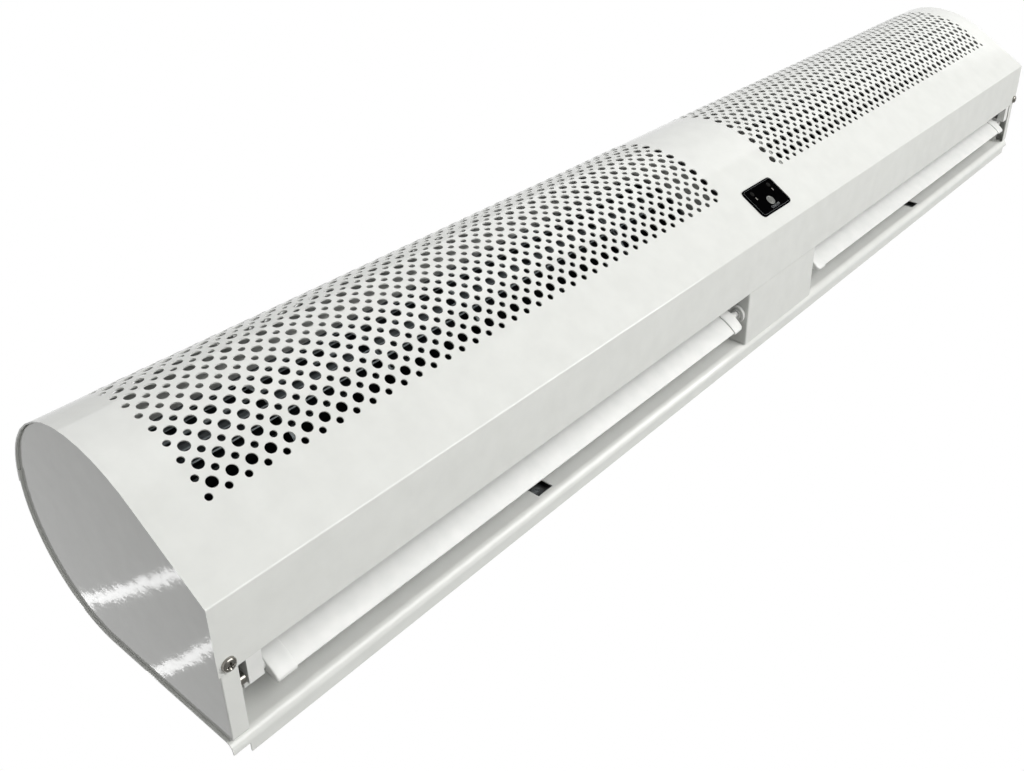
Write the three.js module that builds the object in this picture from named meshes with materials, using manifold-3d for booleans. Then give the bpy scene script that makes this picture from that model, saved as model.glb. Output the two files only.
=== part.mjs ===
// Air curtain for a doorway 1.2 m wide, hung on a wall plate with its outlets facing down.
// Pieces are placed by x along the length, depth out from the rear panel towards the room, and
// height above the outlet plane. The origin is the wall face of the wall plate, in its middle.
import * as THREE from 'three';
import { mergeGeometries, mergeVertices } from 'three/addons/utils/BufferGeometryUtils.js';
import Module from 'manifold-3d';

const wasm = await Module();
wasm.setup();

const degrees = Math.PI / 180;

// Driving dimensions, in millimetres and degrees.
const length = 1200; // over the end rims of the cover
const sheet = 1; // steel sheet of the casing
const plate = 1.2; // steel sheet of brackets, bay walls and the wall plate
const seat = 0.3; // gap between pieces that bear on each other
const touch = 0.05; // gap under heads and plates that lie on a flat face

const creaseDepth = 100; // outlet face, from the rear panel to the crease
const flareAngle = 32.4 * degrees; // lean of the front above the crease
const flareLength = 69; // flat part of the front above the crease
const noseRadius = 112; // bend between the flat front and the dome
const coverEdgeDepth = 52.5; // front edge of the outlet slots
const coverLapAngle = 85 * degrees; // where the cover ends on top of the dome
const rearLapAngle = 78 * degrees; // where the rear panel starts below the cover
const lipRadius = 6; // rounded lip at the rear edge of the slots
const standOff = 13; // from the wall to the rear panel
const mountHeight = 54; // origin above the outlet plane

const holePitch = 13; // perforation lattice, along the length and along the curve
const fieldInner = 56.5; // innermost column of small holes, from the middle
const fieldMargin = 36.5; // from the outermost column to the cover's end
const fieldStart = 50.5; // lowest row, measured along the sheet from the crease
const fieldReach = 156; // from the lowest row to the highest, along the sheet
const largeHole = 7.4; // diameter

const endRecess = 1.6; // end plates inside the cover's rim
const endFlange = 12.5; // folded edge of the end plates, from the rim
const coverScrewInset = 6.8; // from the rim
const coverScrewDepth = 58;
const coverScrewHead = 8.9; // diameter
const coverScrewHeight = 2.6;
const screwShank = 4; // diameter of all the screws

const bayHalf = 60; // half the width of the motor bay's outlet face
const bayFold = 26; // height of the folded sides of that face
const bracketGap = 1.3; // between an end plate's folded edge and a bearing bracket
const bracketFoot = 10; // height of the brackets' lower edge

const impellerForward = 2; // impeller axis in front of the dome's centre
const impellerDrop = 8; // impeller axis below the dome's centre
const impellerRadius = 50;
const bladeWidth = 12; // radial width of the blade ring
const bladeSheet = 1.2;
const bladeCount = 16;
const bladeLean = 8 * degrees; // how far a blade's inner edge lags its outer edge
const impellerInnerGap = 4; // between the motor bay and an impeller
const impellerOuterGap = 13; // between an impeller and its bearing bracket
const discThickness = 2;
const hubRadius = 12;
const hubLength = 12;
const shaftRadius = 5;
const stubRadius = 4;
const tongueGap = 5; // between the impeller and the tip of the tongue
const guideGap = 4; // least gap between the impeller and the rear guide
const guideGrowth = 8; // how much that gap grows down to the level of the axis
const guideFoot = 29.5; // height of the guide's lower edge
const guideFootLength = 12;

const motorRadius = 44;
const motorHalf = 30; // half the length of the stator housing
const bellLength = 14;
const bossRadius = 14;
const bossLength = 8;
const ringRadius = 20; // rubber ring on a motor boss
const ringWidth = 6;
const cradleLow = 77; // lower edge of the motor cradle
const saddleTopDepth = 14; // depth of the cradle's uprights above the motor ring

const vaneDepth = 29.5; // pivot axis
const vaneHeight = 11;
const vaneTilt = 26.6 * degrees; // lean of the vane at rest, top towards the room
const vaneChord = 26;
const vaneThickness = 1.8;
const vaneCamber = 2;
const capInnerGap = 10; // between the motor bay and a vane's inner cap
const capOuterGap = 5.3; // between a vane's outer cap and the pivot block
const capLength = 13.8;
const capWall = 1;
const capGrip = 5; // length of strip inside a cap
const pinRadius = 3;
const blockLength = 10; // pivot block, along the length
const blockHalf = 6; // half the block's depth, about the pivot axis
const blockRib = 1.2;
const blockArmRear = 33; // the block's arm that reaches forward under the cover's edge
const blockArmGap = 1; // between the arm and the cover's edge
const blockArmLow = 1;
const blockArmHigh = 9;
const clipDepth = 36.8; // middle of the spring clip's curl
const clipCurl = 3.4; // its inside radius
const springRoom = 2.2; // between the pivot block and the bearing bracket
const pivotDiscRadius = 8.3;
const pivotDiscThickness = 3;

const windowPlace = 325.8; // windows in the rear wall of the slots
const windowWidth = 15.5;
const windowLow = 7.6;
const windowHeight = 11.2;
const lockScrewHeight = 15.5;
const hookInner = 200; // hooks, from the middle and from the wall plate's end
const hookMargin = 136;
const hookWidth = 20;
const hookHeight = 89;
const wallPlateMargin = 14; // from the cover's end to the wall plate's
const wallPlateTop = 106;
const cablePlace = 30; // cable entry, from the middle
const cableHeight = 62;
const cableRadius = 5;
const keyholeInner = 120; // keyholes, from the middle and from the wall plate's end
const keyholeMiddle = 300;
const keyholeMargin = 66;
const keyholeHeight = 74;

const fasciaWidth = 47; // control panel
const fasciaHeight = 28.5;
const fasciaThickness = 1.4;
const fasciaCorner = 4;
const fasciaCentre = 29.3; // along the front from the crease
const fasciaOverlap = 2.5; // rim of the fascia around the cut-out
const housingDepth = 12;
const buttonRadius = 4.1;
const buttonOffset = -4.6; // below the middle of the panel
const buttonProud = 0.5;
const buttonTravel = 0.8;
const lightPlace = 14; // lights and receiver windows, from the panel's middle
const lightOffset = 2.4;
const receiverOffset = 8.2;
const receiverRadius = 1.5;

const bayShelf = 28; // lower edge of the electrical pieces in the motor bay
const capacitorPlace = -30; // middle of the run capacitor
const capacitorLength = 44;
const capacitorDepth = 24;
const capacitorHeight = 22;
const terminalPlace = 14; // middle of the terminal block
const terminalWays = 4;
const terminalPitch = 9;
const terminalDepth = 16;
const terminalHeight = 18;
const terminalHole = 3; // radius

// Sizes that follow from the ones above.
const half = length / 2;
const lap = sheet + seat;
const frontDepth = creaseDepth + flareLength * Math.sin(flareAngle)
  + noseRadius * (1 - Math.cos(flareAngle));
const domeHeight = flareLength * Math.cos(flareAngle) + noseRadius * Math.sin(flareAngle);
const domeRadius = (frontDepth + lap) / 2;
const rearRadius = domeRadius - lap;
const axisDepth = rearRadius + impellerForward;
const axisHeight = domeHeight - impellerDrop;
const bayWallOuter = bayHalf - sheet - seat;
const bayWallInner = bayWallOuter - plate;
const bracketPlace = half - endFlange - bracketGap; // outer face, from the middle
const bracketInner = bracketPlace - plate;
const impellerInner = bayHalf + impellerInnerGap; // ends of an impeller, from the middle
const impellerOuter = bracketInner - impellerOuterGap;
const blockOuter = bracketInner - springRoom; // ends of a pivot block
const blockInner = blockOuter - blockLength;
const capInner = bayHalf + capInnerGap; // outer faces of a vane's end caps
const capOuter = blockInner - capOuterGap;
const vaneInner = capInner + capLength; // ends of the strip that show between the caps
const vaneOuter = capOuter - capLength;
const wallPlateHalf = half - wallPlateMargin;
const hookPlaces = [hookInner, wallPlateHalf - hookMargin];
const keyholePlaces = [keyholeInner, keyholeMiddle, wallPlateHalf - keyholeMargin];
const holeColumns = 1 + Math.floor((half - fieldMargin - fieldInner) / holePitch);
const holeRows = 1 + Math.floor(fieldReach / holePitch);

const at = (depth, height) => new THREE.Vector2(depth, height);
const domeCentre = at(rearRadius, domeHeight);
const axis = at(axisDepth, axisHeight);

// Materials, as the parts look in daylight.
const paint = (colour, roughness, metalness) => () =>
  new THREE.MeshStandardMaterial({ color: colour, roughness, metalness });
const whitePaint = paint(0xdfe0dc, 0.35, 0.1);
const whitePlastic = paint(0xe6e6e2, 0.4, 0);
const blackPlastic = paint(0x0c0c0d, 0.12, 0);
const darkPlastic = paint(0x26282b, 0.5, 0);
const zincSteel = paint(0xa9adb0, 0.4, 0.85);
const aluminium = paint(0xc4c7c9, 0.35, 0.9);
const nickel = paint(0xc9c6c0, 0.2, 1);
const rubber = paint(0x1c1c1d, 0.85, 0);
const greenBoard = paint(0x1f5a35, 0.5, 0);
const greyEnamel = paint(0x55595c, 0.5, 0.3);

// A geometry as a solid that can be joined and cut.
function solid(geometry) {
  geometry.deleteAttribute('normal');
  geometry.deleteAttribute('uv');
  const merged = mergeVertices(geometry, 1e-4);
  return new wasm.Manifold(new wasm.Mesh({
    numProp: 3,
    vertProperties: merged.attributes.position.array,
    triVerts: new Uint32Array(merged.index.array),
  }));
}

const casing = new THREE.Group();
casing.position.set(0, -standOff, -mountHeight);

// Adds a solid to the object under its own name, with a material of its own.
function add(name, shape, material, parent = casing) {
  const { vertProperties, triVerts } = shape.getMesh();
  const geometry = new THREE.BufferGeometry();
  geometry.setAttribute('position', new THREE.BufferAttribute(vertProperties, 3));
  geometry.setIndex(new THREE.BufferAttribute(triVerts, 1));
  const faceted = geometry.toNonIndexed();
  faceted.computeVertexNormals();
  const mesh = new THREE.Mesh(faceted, material());
  mesh.name = name;
  parent.add(mesh);
}

// Points on a circle in the section: 0 degrees points to the room and 90 degrees up.
function onCircle(centre, radius, angle) {
  return at(centre.x + radius * Math.cos(angle), centre.y + radius * Math.sin(angle));
}

function arc(centre, radius, from, to, steps) {
  return Array.from({ length: steps + 1 }, (_, i) =>
    onCircle(centre, radius, from + ((to - from) * i) / steps));
}

// A line moved sideways: to its left for a positive distance, to its right for a negative one.
function beside(line, distance) {
  const normals = line.slice(1).map((point, i) => {
    const along = point.clone().sub(line[i]).normalize();
    return at(-along.y, along.x);
  });
  return line.map((point, i) => {
    const before = normals[Math.max(i - 1, 0)];
    const after = normals[Math.min(i, normals.length - 1)];
    const middle = before.clone().add(after).normalize();
    return point.clone().addScaledVector(middle, distance / middle.dot(before));
  });
}

const bentSheet = (line, thickness) => [...line, ...beside(line, thickness).reverse()];

// A section in depth and height, run along x between two places.
function run(outline, from, to) {
  const geometry = new THREE.ExtrudeGeometry(
    new THREE.Shape(outline), { depth: to - from, bevelEnabled: false });
  const turn = new THREE.Matrix4().makeBasis(
    new THREE.Vector3(0, -1, 0), new THREE.Vector3(0, 0, 1), new THREE.Vector3(-1, 0, 0));
  return solid(geometry.applyMatrix4(turn.setPosition(to, 0, 0)));
}

// Two places on one side of the middle, in order along x: side is -1 or 1.
const ordered = (side, near, far) => (side > 0 ? [near, far] : [-far, -near]);
const runOn = (side, outline, near, far) => run(outline, ...ordered(side, near, far));

function block(from, to, depthFrom, depthTo, low, high) {
  const geometry = new THREE.BoxGeometry(to - from, depthTo - depthFrom, high - low);
  return solid(geometry.translate((from + to) / 2, -(depthFrom + depthTo) / 2, (low + high) / 2));
}

const blockOn = (side, near, far, ...rest) => block(...ordered(side, near, far), ...rest);

// Round bars along x, along depth and along height.
function barAlong(from, to, centre, radius, sides = 20) {
  const geometry = new THREE.CylinderGeometry(radius, radius, to - from, sides).rotateZ(Math.PI / 2);
  return solid(geometry.translate((from + to) / 2, -centre.x, centre.y));
}

const barOn = (side, near, far, ...rest) => barAlong(...ordered(side, near, far), ...rest);

function barDeep(x, height, depthFrom, depthTo, radius, sides = 16) {
  const geometry = new THREE.CylinderGeometry(radius, radius, depthTo - depthFrom, sides);
  return solid(geometry.translate(x, -(depthFrom + depthTo) / 2, height));
}

function barUp(x, depth, low, high, radius, sides = 16) {
  const geometry = new THREE.CylinderGeometry(radius, radius, high - low, sides).rotateX(Math.PI / 2);
  return solid(geometry.translate(x, -depth, (low + high) / 2));
}

// A turned piece about an axis along x; the profile holds [place, radius] pairs, axis to axis or
// closed on itself, and a left-hand piece is its mirror image.
function turnedOn(side, profile, centre, sides = 20) {
  const points = profile.map(([place, radius]) => at(radius, side * place));
  if (side < 0) points.reverse();
  const geometry = new THREE.LatheGeometry(points, sides).rotateZ(-Math.PI / 2);
  return solid(geometry.translate(0, -centre.x, centre.y));
}

// A small thing copied along a list of places and made one solid.
const together = (geometries) => solid(mergeGeometries(geometries));

// The casing's section. The front line runs from the crease to the cover's rear edge and the
// rear line from there down to the lip, both a given distance inside the outer faces.
function frontLine(inset, end = coverLapAngle) {
  const crease = at(creaseDepth - (inset * (1 - Math.sin(flareAngle))) / Math.cos(flareAngle), inset);
  const noseCentre = at(frontDepth - noseRadius, domeHeight);
  const nose = arc(noseCentre, noseRadius - inset, -flareAngle, 0, 5);
  return [crease, ...nose, ...arc(domeCentre, domeRadius - inset, 0, end, 10).slice(1)];
}

function rearLine(inset, from) {
  return arc(domeCentre, rearRadius - inset, from, Math.PI, 11);
}

// The closed inside of the casing, for end plates, bay walls and brackets.
function sectionOutline(inset, low) {
  const step = rearLapAngle - degrees;
  return [at(inset, low), ...frontLine(inset, step), ...rearLine(inset, step)];
}

// Place and outward normal on the front, a given distance along the sheet from the crease.
function onFront(distance) {
  const bend = noseRadius * flareAngle;
  if (distance < flareLength) {
    const normal = at(Math.cos(flareAngle), -Math.sin(flareAngle));
    const along = at(Math.sin(flareAngle), Math.cos(flareAngle));
    return { place: at(creaseDepth, 0).addScaledVector(along, distance), normal };
  }
  const onNose = distance < flareLength + bend;
  const angle = onNose
    ? (distance - flareLength) / noseRadius - flareAngle
    : (distance - flareLength - bend) / domeRadius;
  const place = onNose
    ? onCircle(at(frontDepth - noseRadius, domeHeight), noseRadius, angle)
    : onCircle(domeCentre, domeRadius, angle);
  return { place, normal: at(Math.cos(angle), Math.sin(angle)) };
}

// One hexagonal cutter through the front sheet.
function holeCutter(x, distance) {
  const { place, normal } = onFront(distance);
  const geometry = new THREE.CylinderGeometry(largeHole / 2, largeHole / 2, 6 * sheet, 6);
  return geometry.rotateX(Math.atan2(normal.y, -normal.x)).translate(x, -place.x, place.y);
}

// Of the large holes, which stand in the middle of the lattice's squares, every second one along
// and across is cut, so that the intake is open and the sheet stays simple.
const holeStep = 2;

function intakeHoles() {
  const cutters = [];
  for (const side of [-1, 1]) {
    for (let column = 1; column < holeColumns; column += holeStep) {
      for (let row = 1; row < holeRows - 1; row += holeStep) {
        const x = side * (fieldInner + (column - 0.5) * holePitch);
        cutters.push(holeCutter(x, fieldStart + (row + 0.5) * holePitch));
      }
    }
  }
  return together(cutters);
}

// A pan-head screw that hangs head down below the outlet plane, with a cross recess.
function coverScrew(x) {
  const head = barUp(x, coverScrewDepth, -coverScrewHeight - touch, -touch, coverScrewHead / 2, 20);
  const shank = barUp(x, coverScrewDepth, -1, 9, screwShank / 2, 12);
  const low = -coverScrewHeight - 1;
  const slot = (wide, long) => block(
    x - wide, x + wide, coverScrewDepth - long, coverScrewDepth + long, low, -coverScrewHeight + 1.2);
  return head.add(shank).subtract(slot(0.5, 2.2).add(slot(2.2, 0.5)));
}

const coverScrewPlace = half - coverScrewInset;

// The control panel's own frame: x along the length, y up the sloping front, z out of it.
const panel = new THREE.Group();
const panelCentre = onFront(fasciaCentre).place;
panel.position.set(0, -panelCentre.x, panelCentre.y);
panel.rotation.x = Math.PI / 2 + flareAngle;
panel.updateMatrix();
casing.add(panel);

function roundedOutline(width, height, corner) {
  const shape = new THREE.Shape();
  const [x, y] = [width / 2, height / 2];
  shape.moveTo(-x + corner, -y);
  shape.absarc(x - corner, -y + corner, corner, -Math.PI / 2, 0);
  shape.absarc(x - corner, y - corner, corner, 0, Math.PI / 2);
  shape.absarc(-x + corner, y - corner, corner, Math.PI / 2, Math.PI);
  shape.absarc(-x + corner, -y + corner, corner, Math.PI, 1.5 * Math.PI);
  return shape;
}

function panelSlab(width, height, corner, low, high) {
  const shape = roundedOutline(width, height, corner);
  const geometry = new THREE.ExtrudeGeometry(
    shape, { depth: high - low, bevelEnabled: false, curveSegments: 4 });
  return geometry.translate(0, 0, low);
}

function panelBar(x, y, low, high, radius, sides = 20) {
  const geometry = new THREE.CylinderGeometry(radius, radius, high - low, sides);
  return solid(geometry.rotateX(Math.PI / 2).translate(x, y, (low + high) / 2));
}

function panelBlock(x, y, width, height, low, high) {
  const geometry = new THREE.BoxGeometry(width, height, high - low);
  return solid(geometry.translate(x, y, (low + high) / 2));
}

const cutoutWidth = fasciaWidth - 2 * fasciaOverlap;
const cutoutHeight = fasciaHeight - 2 * fasciaOverlap;

// Front cover: one bent sheet from the slot's front edge over the top of the dome.
function frontCover() {
  const outer = [at(coverEdgeDepth, 0), ...frontLine(0)];
  const shell = run(bentSheet(outer, sheet), -half, half);
  const cutout = panelSlab(cutoutWidth, cutoutHeight, fasciaCorner / 2, -4 * sheet, 4 * sheet);
  const screwHoles = [-1, 1].map((side) =>
    barUp(side * coverScrewPlace, coverScrewDepth, -sheet, 2 * sheet, screwShank / 2 + seat, 12));
  return shell
    .subtract(intakeHoles())
    .subtract(solid(cutout.applyMatrix4(panel.matrix)))
    .subtract(screwHoles[0])
    .subtract(screwHoles[1]);
}

add('front_cover', frontCover(), whitePaint);

// Rear panel: from below the cover's edge down the back, round the lip and out to the wall.
const lipCentre = at(sheet - lipRadius, lipRadius);

function rearPanel() {
  const line = [
    ...rearLine(0, rearLapAngle),
    ...arc(lipCentre, lipRadius - sheet, 0, -Math.PI / 2, 5),
    at(-standOff + seat, sheet),
  ];
  let panelSheet = run(bentSheet(line, sheet), -half, half);
  for (const side of [-1, 1]) {
    const notch = blockOn(side, half - 11, half + 1, -standOff - 1, -lipRadius, -1, 2 * sheet);
    const window = blockOn(side, windowPlace - windowWidth / 2, windowPlace + windowWidth / 2,
      -2 * sheet, 3 * sheet, windowLow, windowLow + windowHeight);
    panelSheet = panelSheet.subtract(notch).subtract(window);
    for (const place of hookPlaces) {
      const slot = blockOn(side, place - hookWidth / 2 - 1, place + hookWidth / 2 + 1,
        -2 * sheet, 3 * sheet, hookHeight - seat, hookHeight + 10);
      panelSheet = panelSheet.subtract(slot);
    }
  }
  return panelSheet.subtract(barDeep(cablePlace, cableHeight, -2, 3, cableRadius + 3 + seat, 20));
}

add('rear_panel', rearPanel(), whitePaint);

// Wall plate: a shallow pan on the wall, with hooks that pass through the rear panel.
function keyhole(x) {
  const slot = block(x - 2.3, x + 2.3, -standOff - 1, -standOff + 3, keyholeHeight, keyholeHeight + 10);
  return barDeep(x, keyholeHeight, -standOff - 1, -standOff + 3, 4.8, 12).add(slot);
}

const tabFace = -lipRadius + sheet - seat; // front of the pan's lower flange and of its screw tabs

function wallPlate() {
  const line = [
    at(-seat, wallPlateTop),
    at(-standOff, wallPlateTop),
    at(-standOff, lap),
    at(tabFace, lap),
  ];
  let pan = run(bentSheet(line, plate), -wallPlateHalf, wallPlateHalf);
  for (const side of [-1, 1]) {
    pan = pan.add(blockOn(side, windowPlace - 12, windowPlace + 12,
      tabFace - plate, tabFace, lap, windowLow + windowHeight + 4));
    pan = pan.subtract(barDeep(side * windowPlace, lockScrewHeight,
      tabFace - 2 * plate, tabFace + 1, screwShank / 2 + seat, 12));
    for (const place of hookPlaces) {
      const hook = [
        at(-standOff + plate / 2, hookHeight),
        at(sheet + seat + plate, hookHeight),
        at(sheet + seat + plate, hookHeight + 8),
      ];
      pan = pan.add(runOn(side, bentSheet(hook, plate), place - hookWidth / 2, place + hookWidth / 2));
    }
    for (const place of keyholePlaces) pan = pan.subtract(keyhole(side * place));
  }
  return pan.subtract(barDeep(cablePlace, cableHeight, -standOff - 1, -standOff + 3, cableRadius + 9));
}

add('wall_plate', wallPlate(), zincSteel);

// Lock screws on the wall plate's tabs, which are reached through the windows.
function lockScrew(x) {
  const head = barDeep(x, lockScrewHeight, tabFace + touch, tabFace + 2.6, 4.4, 20);
  const shank = barDeep(x, lockScrewHeight, -standOff + plate + seat, tabFace + 1, screwShank / 2, 12);
  const slot = (wide, tall) => block(x - wide, x + wide, tabFace + 1.4, tabFace + 4,
    lockScrewHeight - tall, lockScrewHeight + tall);
  return head.add(shank).subtract(slot(0.5, 2.2).add(slot(2.2, 0.5)));
}

for (const [side, hand] of [[-1, 'left'], [1, 'right']]) {
  add(`lock_screw_${hand}`, lockScrew(side * windowPlace), zincSteel);
  add(`cover_screw_${hand}`, coverScrew(side * coverScrewPlace), nickel);
}

// End plates: trays inside the casing, with their folded edge towards the middle.
function endPlate(side) {
  const face = half - endRecess;
  const tray = runOn(side, sectionOutline(lap, lap), half - endFlange, face);
  const hollow = runOn(side, sectionOutline(lap + sheet, lap + sheet), half - endFlange - 1, face - sheet);
  const screwHole = barUp(side * coverScrewPlace, coverScrewDepth,
    0, 3 * lap, screwShank / 2 + seat, 12);
  return tray.subtract(hollow).subtract(screwHole);
}

// Bearing brackets: the inner plates that carry the outer bearings and the pivot blocks.
const bushRadius = 16;
const bushNeck = 14;
const notchTop = 17; // cut-out at the lower front corner for the spring clip
const notchRear = clipDepth - clipCurl - 1.6;

function bearingBracket(side) {
  const wall = runOn(side, sectionOutline(lap, bracketFoot), bracketInner, bracketPlace);
  const foot = blockOn(side, bracketInner - 1, bracketPlace + 1, 0, frontDepth, 0, bracketFoot);
  const notch = blockOn(side, bracketInner - 1, bracketPlace + 1, notchRear, frontDepth, 0, notchTop);
  const hole = barOn(side, bracketInner - 1, bracketPlace + 1, axis, bushNeck + seat, 24);
  return wall.subtract(foot).subtract(notch).subtract(hole);
}

// Bay walls: they part the motor bay from the two fan chambers and let the shaft through.
function bayWall(side) {
  const wall = runOn(side, sectionOutline(lap, lap), bayWallInner, bayWallOuter);
  return wall.subtract(barOn(side, bayWallInner - 1, bayWallOuter + 1, axis, hubRadius + 3, 24));
}

// Rear guide: a curved sheet that leads the air round the back of the impeller to the slot.
const chamberInner = bayHalf + seat;
const chamberOuter = bracketInner - seat;

function guideLine() {
  const steps = 12;
  const spiral = Array.from({ length: steps + 1 }, (_, i) => {
    const angle = (100 + (80 * i) / steps) * degrees;
    const gap = guideGap + (guideGrowth * i) / steps;
    return onCircle(axis, impellerRadius + gap, angle);
  });
  const top = spiral[spiral.length - 1];
  const footTop = at(lap + sheet, guideFoot + guideFootLength);
  const reach = (top.y - footTop.y) / 2;
  const bend = new THREE.CubicBezierCurve(
    top, at(top.x, top.y - reach), at(footTop.x, footTop.y + reach), footTop);
  return [...spiral, ...bend.getPoints(10).slice(1), at(lap + sheet, guideFoot)];
}

const rearGuide = (side) =>
  runOn(side, bentSheet(guideLine(), -sheet), chamberInner, chamberOuter);

// Air tongue: from a flange on the cover's outlet face up to the front of the impeller.
const tongueFoot = coverEdgeDepth + 3.5;

function airTongue(side) {
  const tip = onCircle(axis, impellerRadius + tongueGap, -110 * degrees);
  const line = [
    at(creaseDepth - 10, lap),
    at(tongueFoot, lap),
    tip,
    at(tip.x + 9, tip.y - 7),
  ];
  return runOn(side, bentSheet(line, -sheet), chamberInner, chamberOuter);
}

// Impeller: a ring of blades between discs, with a hub at each end.
function bladeOutline(angle) {
  const outer = impellerRadius - bladeSheet;
  const inner = impellerRadius - bladeWidth;
  return bentSheet([onCircle(axis, outer, angle), onCircle(axis, inner, angle - bladeLean)], bladeSheet);
}

function impeller(side) {
  const bladeRing = together(Array.from({ length: bladeCount }, (_, i) => {
    const shape = new THREE.Shape(bladeOutline((i * 360 * degrees) / bladeCount));
    const geometry = new THREE.ExtrudeGeometry(
      shape, { depth: impellerOuter - impellerInner - 2 * discThickness + 2, bevelEnabled: false });
    const turn = new THREE.Matrix4().makeBasis(
      new THREE.Vector3(0, -1, 0), new THREE.Vector3(0, 0, 1), new THREE.Vector3(-1, 0, 0));
    const [, far] = ordered(side, impellerInner, impellerOuter);
    return geometry.applyMatrix4(turn.setPosition(far - discThickness + 1, 0, 0));
  }));
  const disc = (near) => barOn(side, near, near + discThickness, axis, impellerRadius, 32);
  const middle = (impellerInner + impellerOuter) / 2;
  const opening = barOn(side, middle - 1, middle + discThickness + 1, axis, impellerRadius - bladeWidth);
  return bladeRing
    .add(disc(impellerInner))
    .add(disc(middle).subtract(opening))
    .add(disc(impellerOuter - discThickness))
    .add(barOn(side, impellerInner, impellerInner + hubLength, axis, hubRadius))
    .add(barOn(side, impellerOuter - hubLength, impellerOuter, axis, hubRadius))
    .subtract(barOn(side, impellerInner - 1, impellerInner + hubLength - 1, axis, shaftRadius + seat))
    .subtract(barOn(side, impellerOuter - hubLength + 1, impellerOuter + 1, axis, stubRadius + seat));
}

// Stub shaft, ball bearing and rubber bush at an impeller's outer end.
const bearingRadius = 9;
const bearingInner = bracketInner - 4;
const bearingOuter = bracketPlace + 4;

const stubShaft = (side) =>
  barOn(side, impellerOuter - hubLength + 1 + seat, bearingOuter + 2, axis, stubRadius);

function bearing(side) {
  const ring = barOn(side, bearingInner, bearingOuter, axis, bearingRadius, 24);
  return ring.subtract(barOn(side, bearingInner - 1, bearingOuter + 1, axis, stubRadius + seat));
}

function bearingBush(side) {
  const bore = bearingRadius + seat;
  return turnedOn(side, [
    [bearingInner, bore],
    [bearingInner, bushRadius],
    [bracketInner - seat, bushRadius],
    [bracketInner - seat, bushNeck],
    [bracketPlace + seat, bushNeck],
    [bracketPlace + seat, bushRadius],
    [bearingOuter, bushRadius],
    [bearingOuter, bore],
    [bearingInner, bore],
  ], axis);
}

// Motor: a stator housing, two end bells with bosses in rubber rings, and a cradle.
const bellOuter = motorHalf + bellLength;
const bossOuter = bellOuter + bossLength;
const ringInner = bellOuter + 1;
const coreRadius = 28;
const cradlePlate = 2;
const saddleInner = ringInner + (ringWidth - cradlePlate) / 2;
const saddleHalf = ringRadius + 6;

function endBell(side) {
  const bore = shaftRadius + seat;
  return turnedOn(side, [
    [motorHalf + touch, motorRadius - 6],
    [motorHalf + touch, motorRadius],
    [motorHalf + 5, motorRadius],
    [motorHalf + 10, motorRadius - 8],
    [bellOuter, bossRadius + 6],
    [bellOuter, bossRadius],
    [bossOuter, bossRadius],
    [bossOuter, bore],
    [bellOuter - 3, bore],
    [bellOuter - 3, bossRadius],
    [motorHalf + 8, motorRadius - 12],
    [motorHalf + touch, motorRadius - 6],
  ], axis);
}

function statorHousing() {
  const ring = barAlong(-motorHalf, motorHalf, axis, motorRadius, 32);
  return ring.subtract(barAlong(-motorHalf - 1, motorHalf + 1, axis, coreRadius + 1, 32));
}

// One shaft runs through the motor and carries the rotor core and both impellers.
function motorShaft() {
  const reach = impellerInner + hubLength - 1 - seat;
  return barAlong(-reach, reach, axis, shaftRadius)
    .add(barAlong(-motorHalf + 4, motorHalf - 4, axis, coreRadius, 28));
}

function rubberRing(side) {
  const ring = barOn(side, ringInner, ringInner + ringWidth, axis, ringRadius, 24);
  return ring.subtract(
    barOn(side, ringInner - 1, ringInner + ringWidth + 1, axis, bossRadius + seat, 24));
}

const saddleHole = (side) =>
  barOn(side, saddleInner - 1, saddleInner + cradlePlate + 1, axis, ringRadius + seat, 24);

function motorCradle() {
  const high = domeHeight - 2;
  const reach = saddleInner + cradlePlate;
  const outline = [
    at(lap, cradleLow),
    at(axisDepth - touch, axisHeight - saddleHalf),
    at(axisDepth - touch, axisHeight + saddleHalf),
    at(lap + saddleTopDepth, axisHeight + saddleHalf),
    at(lap, high),
  ];
  let cradle = block(-reach, reach, lap, lap + cradlePlate, cradleLow, high);
  for (const side of [-1, 1]) {
    const upright = runOn(side, outline, saddleInner, saddleInner + cradlePlate);
    cradle = cradle.add(upright.subtract(saddleHole(side)));
  }
  return cradle;
}

function motorClamp(side) {
  const strap = blockOn(side, saddleInner, saddleInner + cradlePlate,
    axisDepth + touch, axisDepth + saddleHalf, axisHeight - saddleHalf, axisHeight + saddleHalf);
  return strap.subtract(saddleHole(side));
}

add('motor_stator', statorHousing(), greyEnamel);
add('motor_shaft', motorShaft(), zincSteel);
add('motor_cradle', motorCradle(), zincSteel);

// Outlet vane: a cambered strip. Its section is drawn about the pivot axis, along the chord from
// the lower edge to the upper one, with the camber towards the room, and then tilted.
const vaneAxis = at(vaneDepth, vaneHeight);

function vanePoint(chordwise, outward) {
  return at(
    vaneDepth + chordwise * Math.sin(vaneTilt) + outward * Math.cos(vaneTilt),
    vaneHeight + chordwise * Math.cos(vaneTilt) - outward * Math.sin(vaneTilt));
}

function vaneOutline(grow) {
  const reach = vaneChord / 2 + grow;
  const steps = 6;
  const face = (lift, turn) => Array.from({ length: steps + 1 }, (_, i) => {
    const t = (2 * i) / steps - 1;
    return vanePoint(turn * t * reach, lift + vaneCamber * (1 - t * t) - vaneThickness / 2);
  });
  return [...face(-grow, 1), ...face(vaneThickness + grow, -1)];
}

function outletVane(side) {
  const reach = capGrip - seat;
  return runOn(side, vaneOutline(0), vaneInner - reach, vaneOuter + reach);
}

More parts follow.
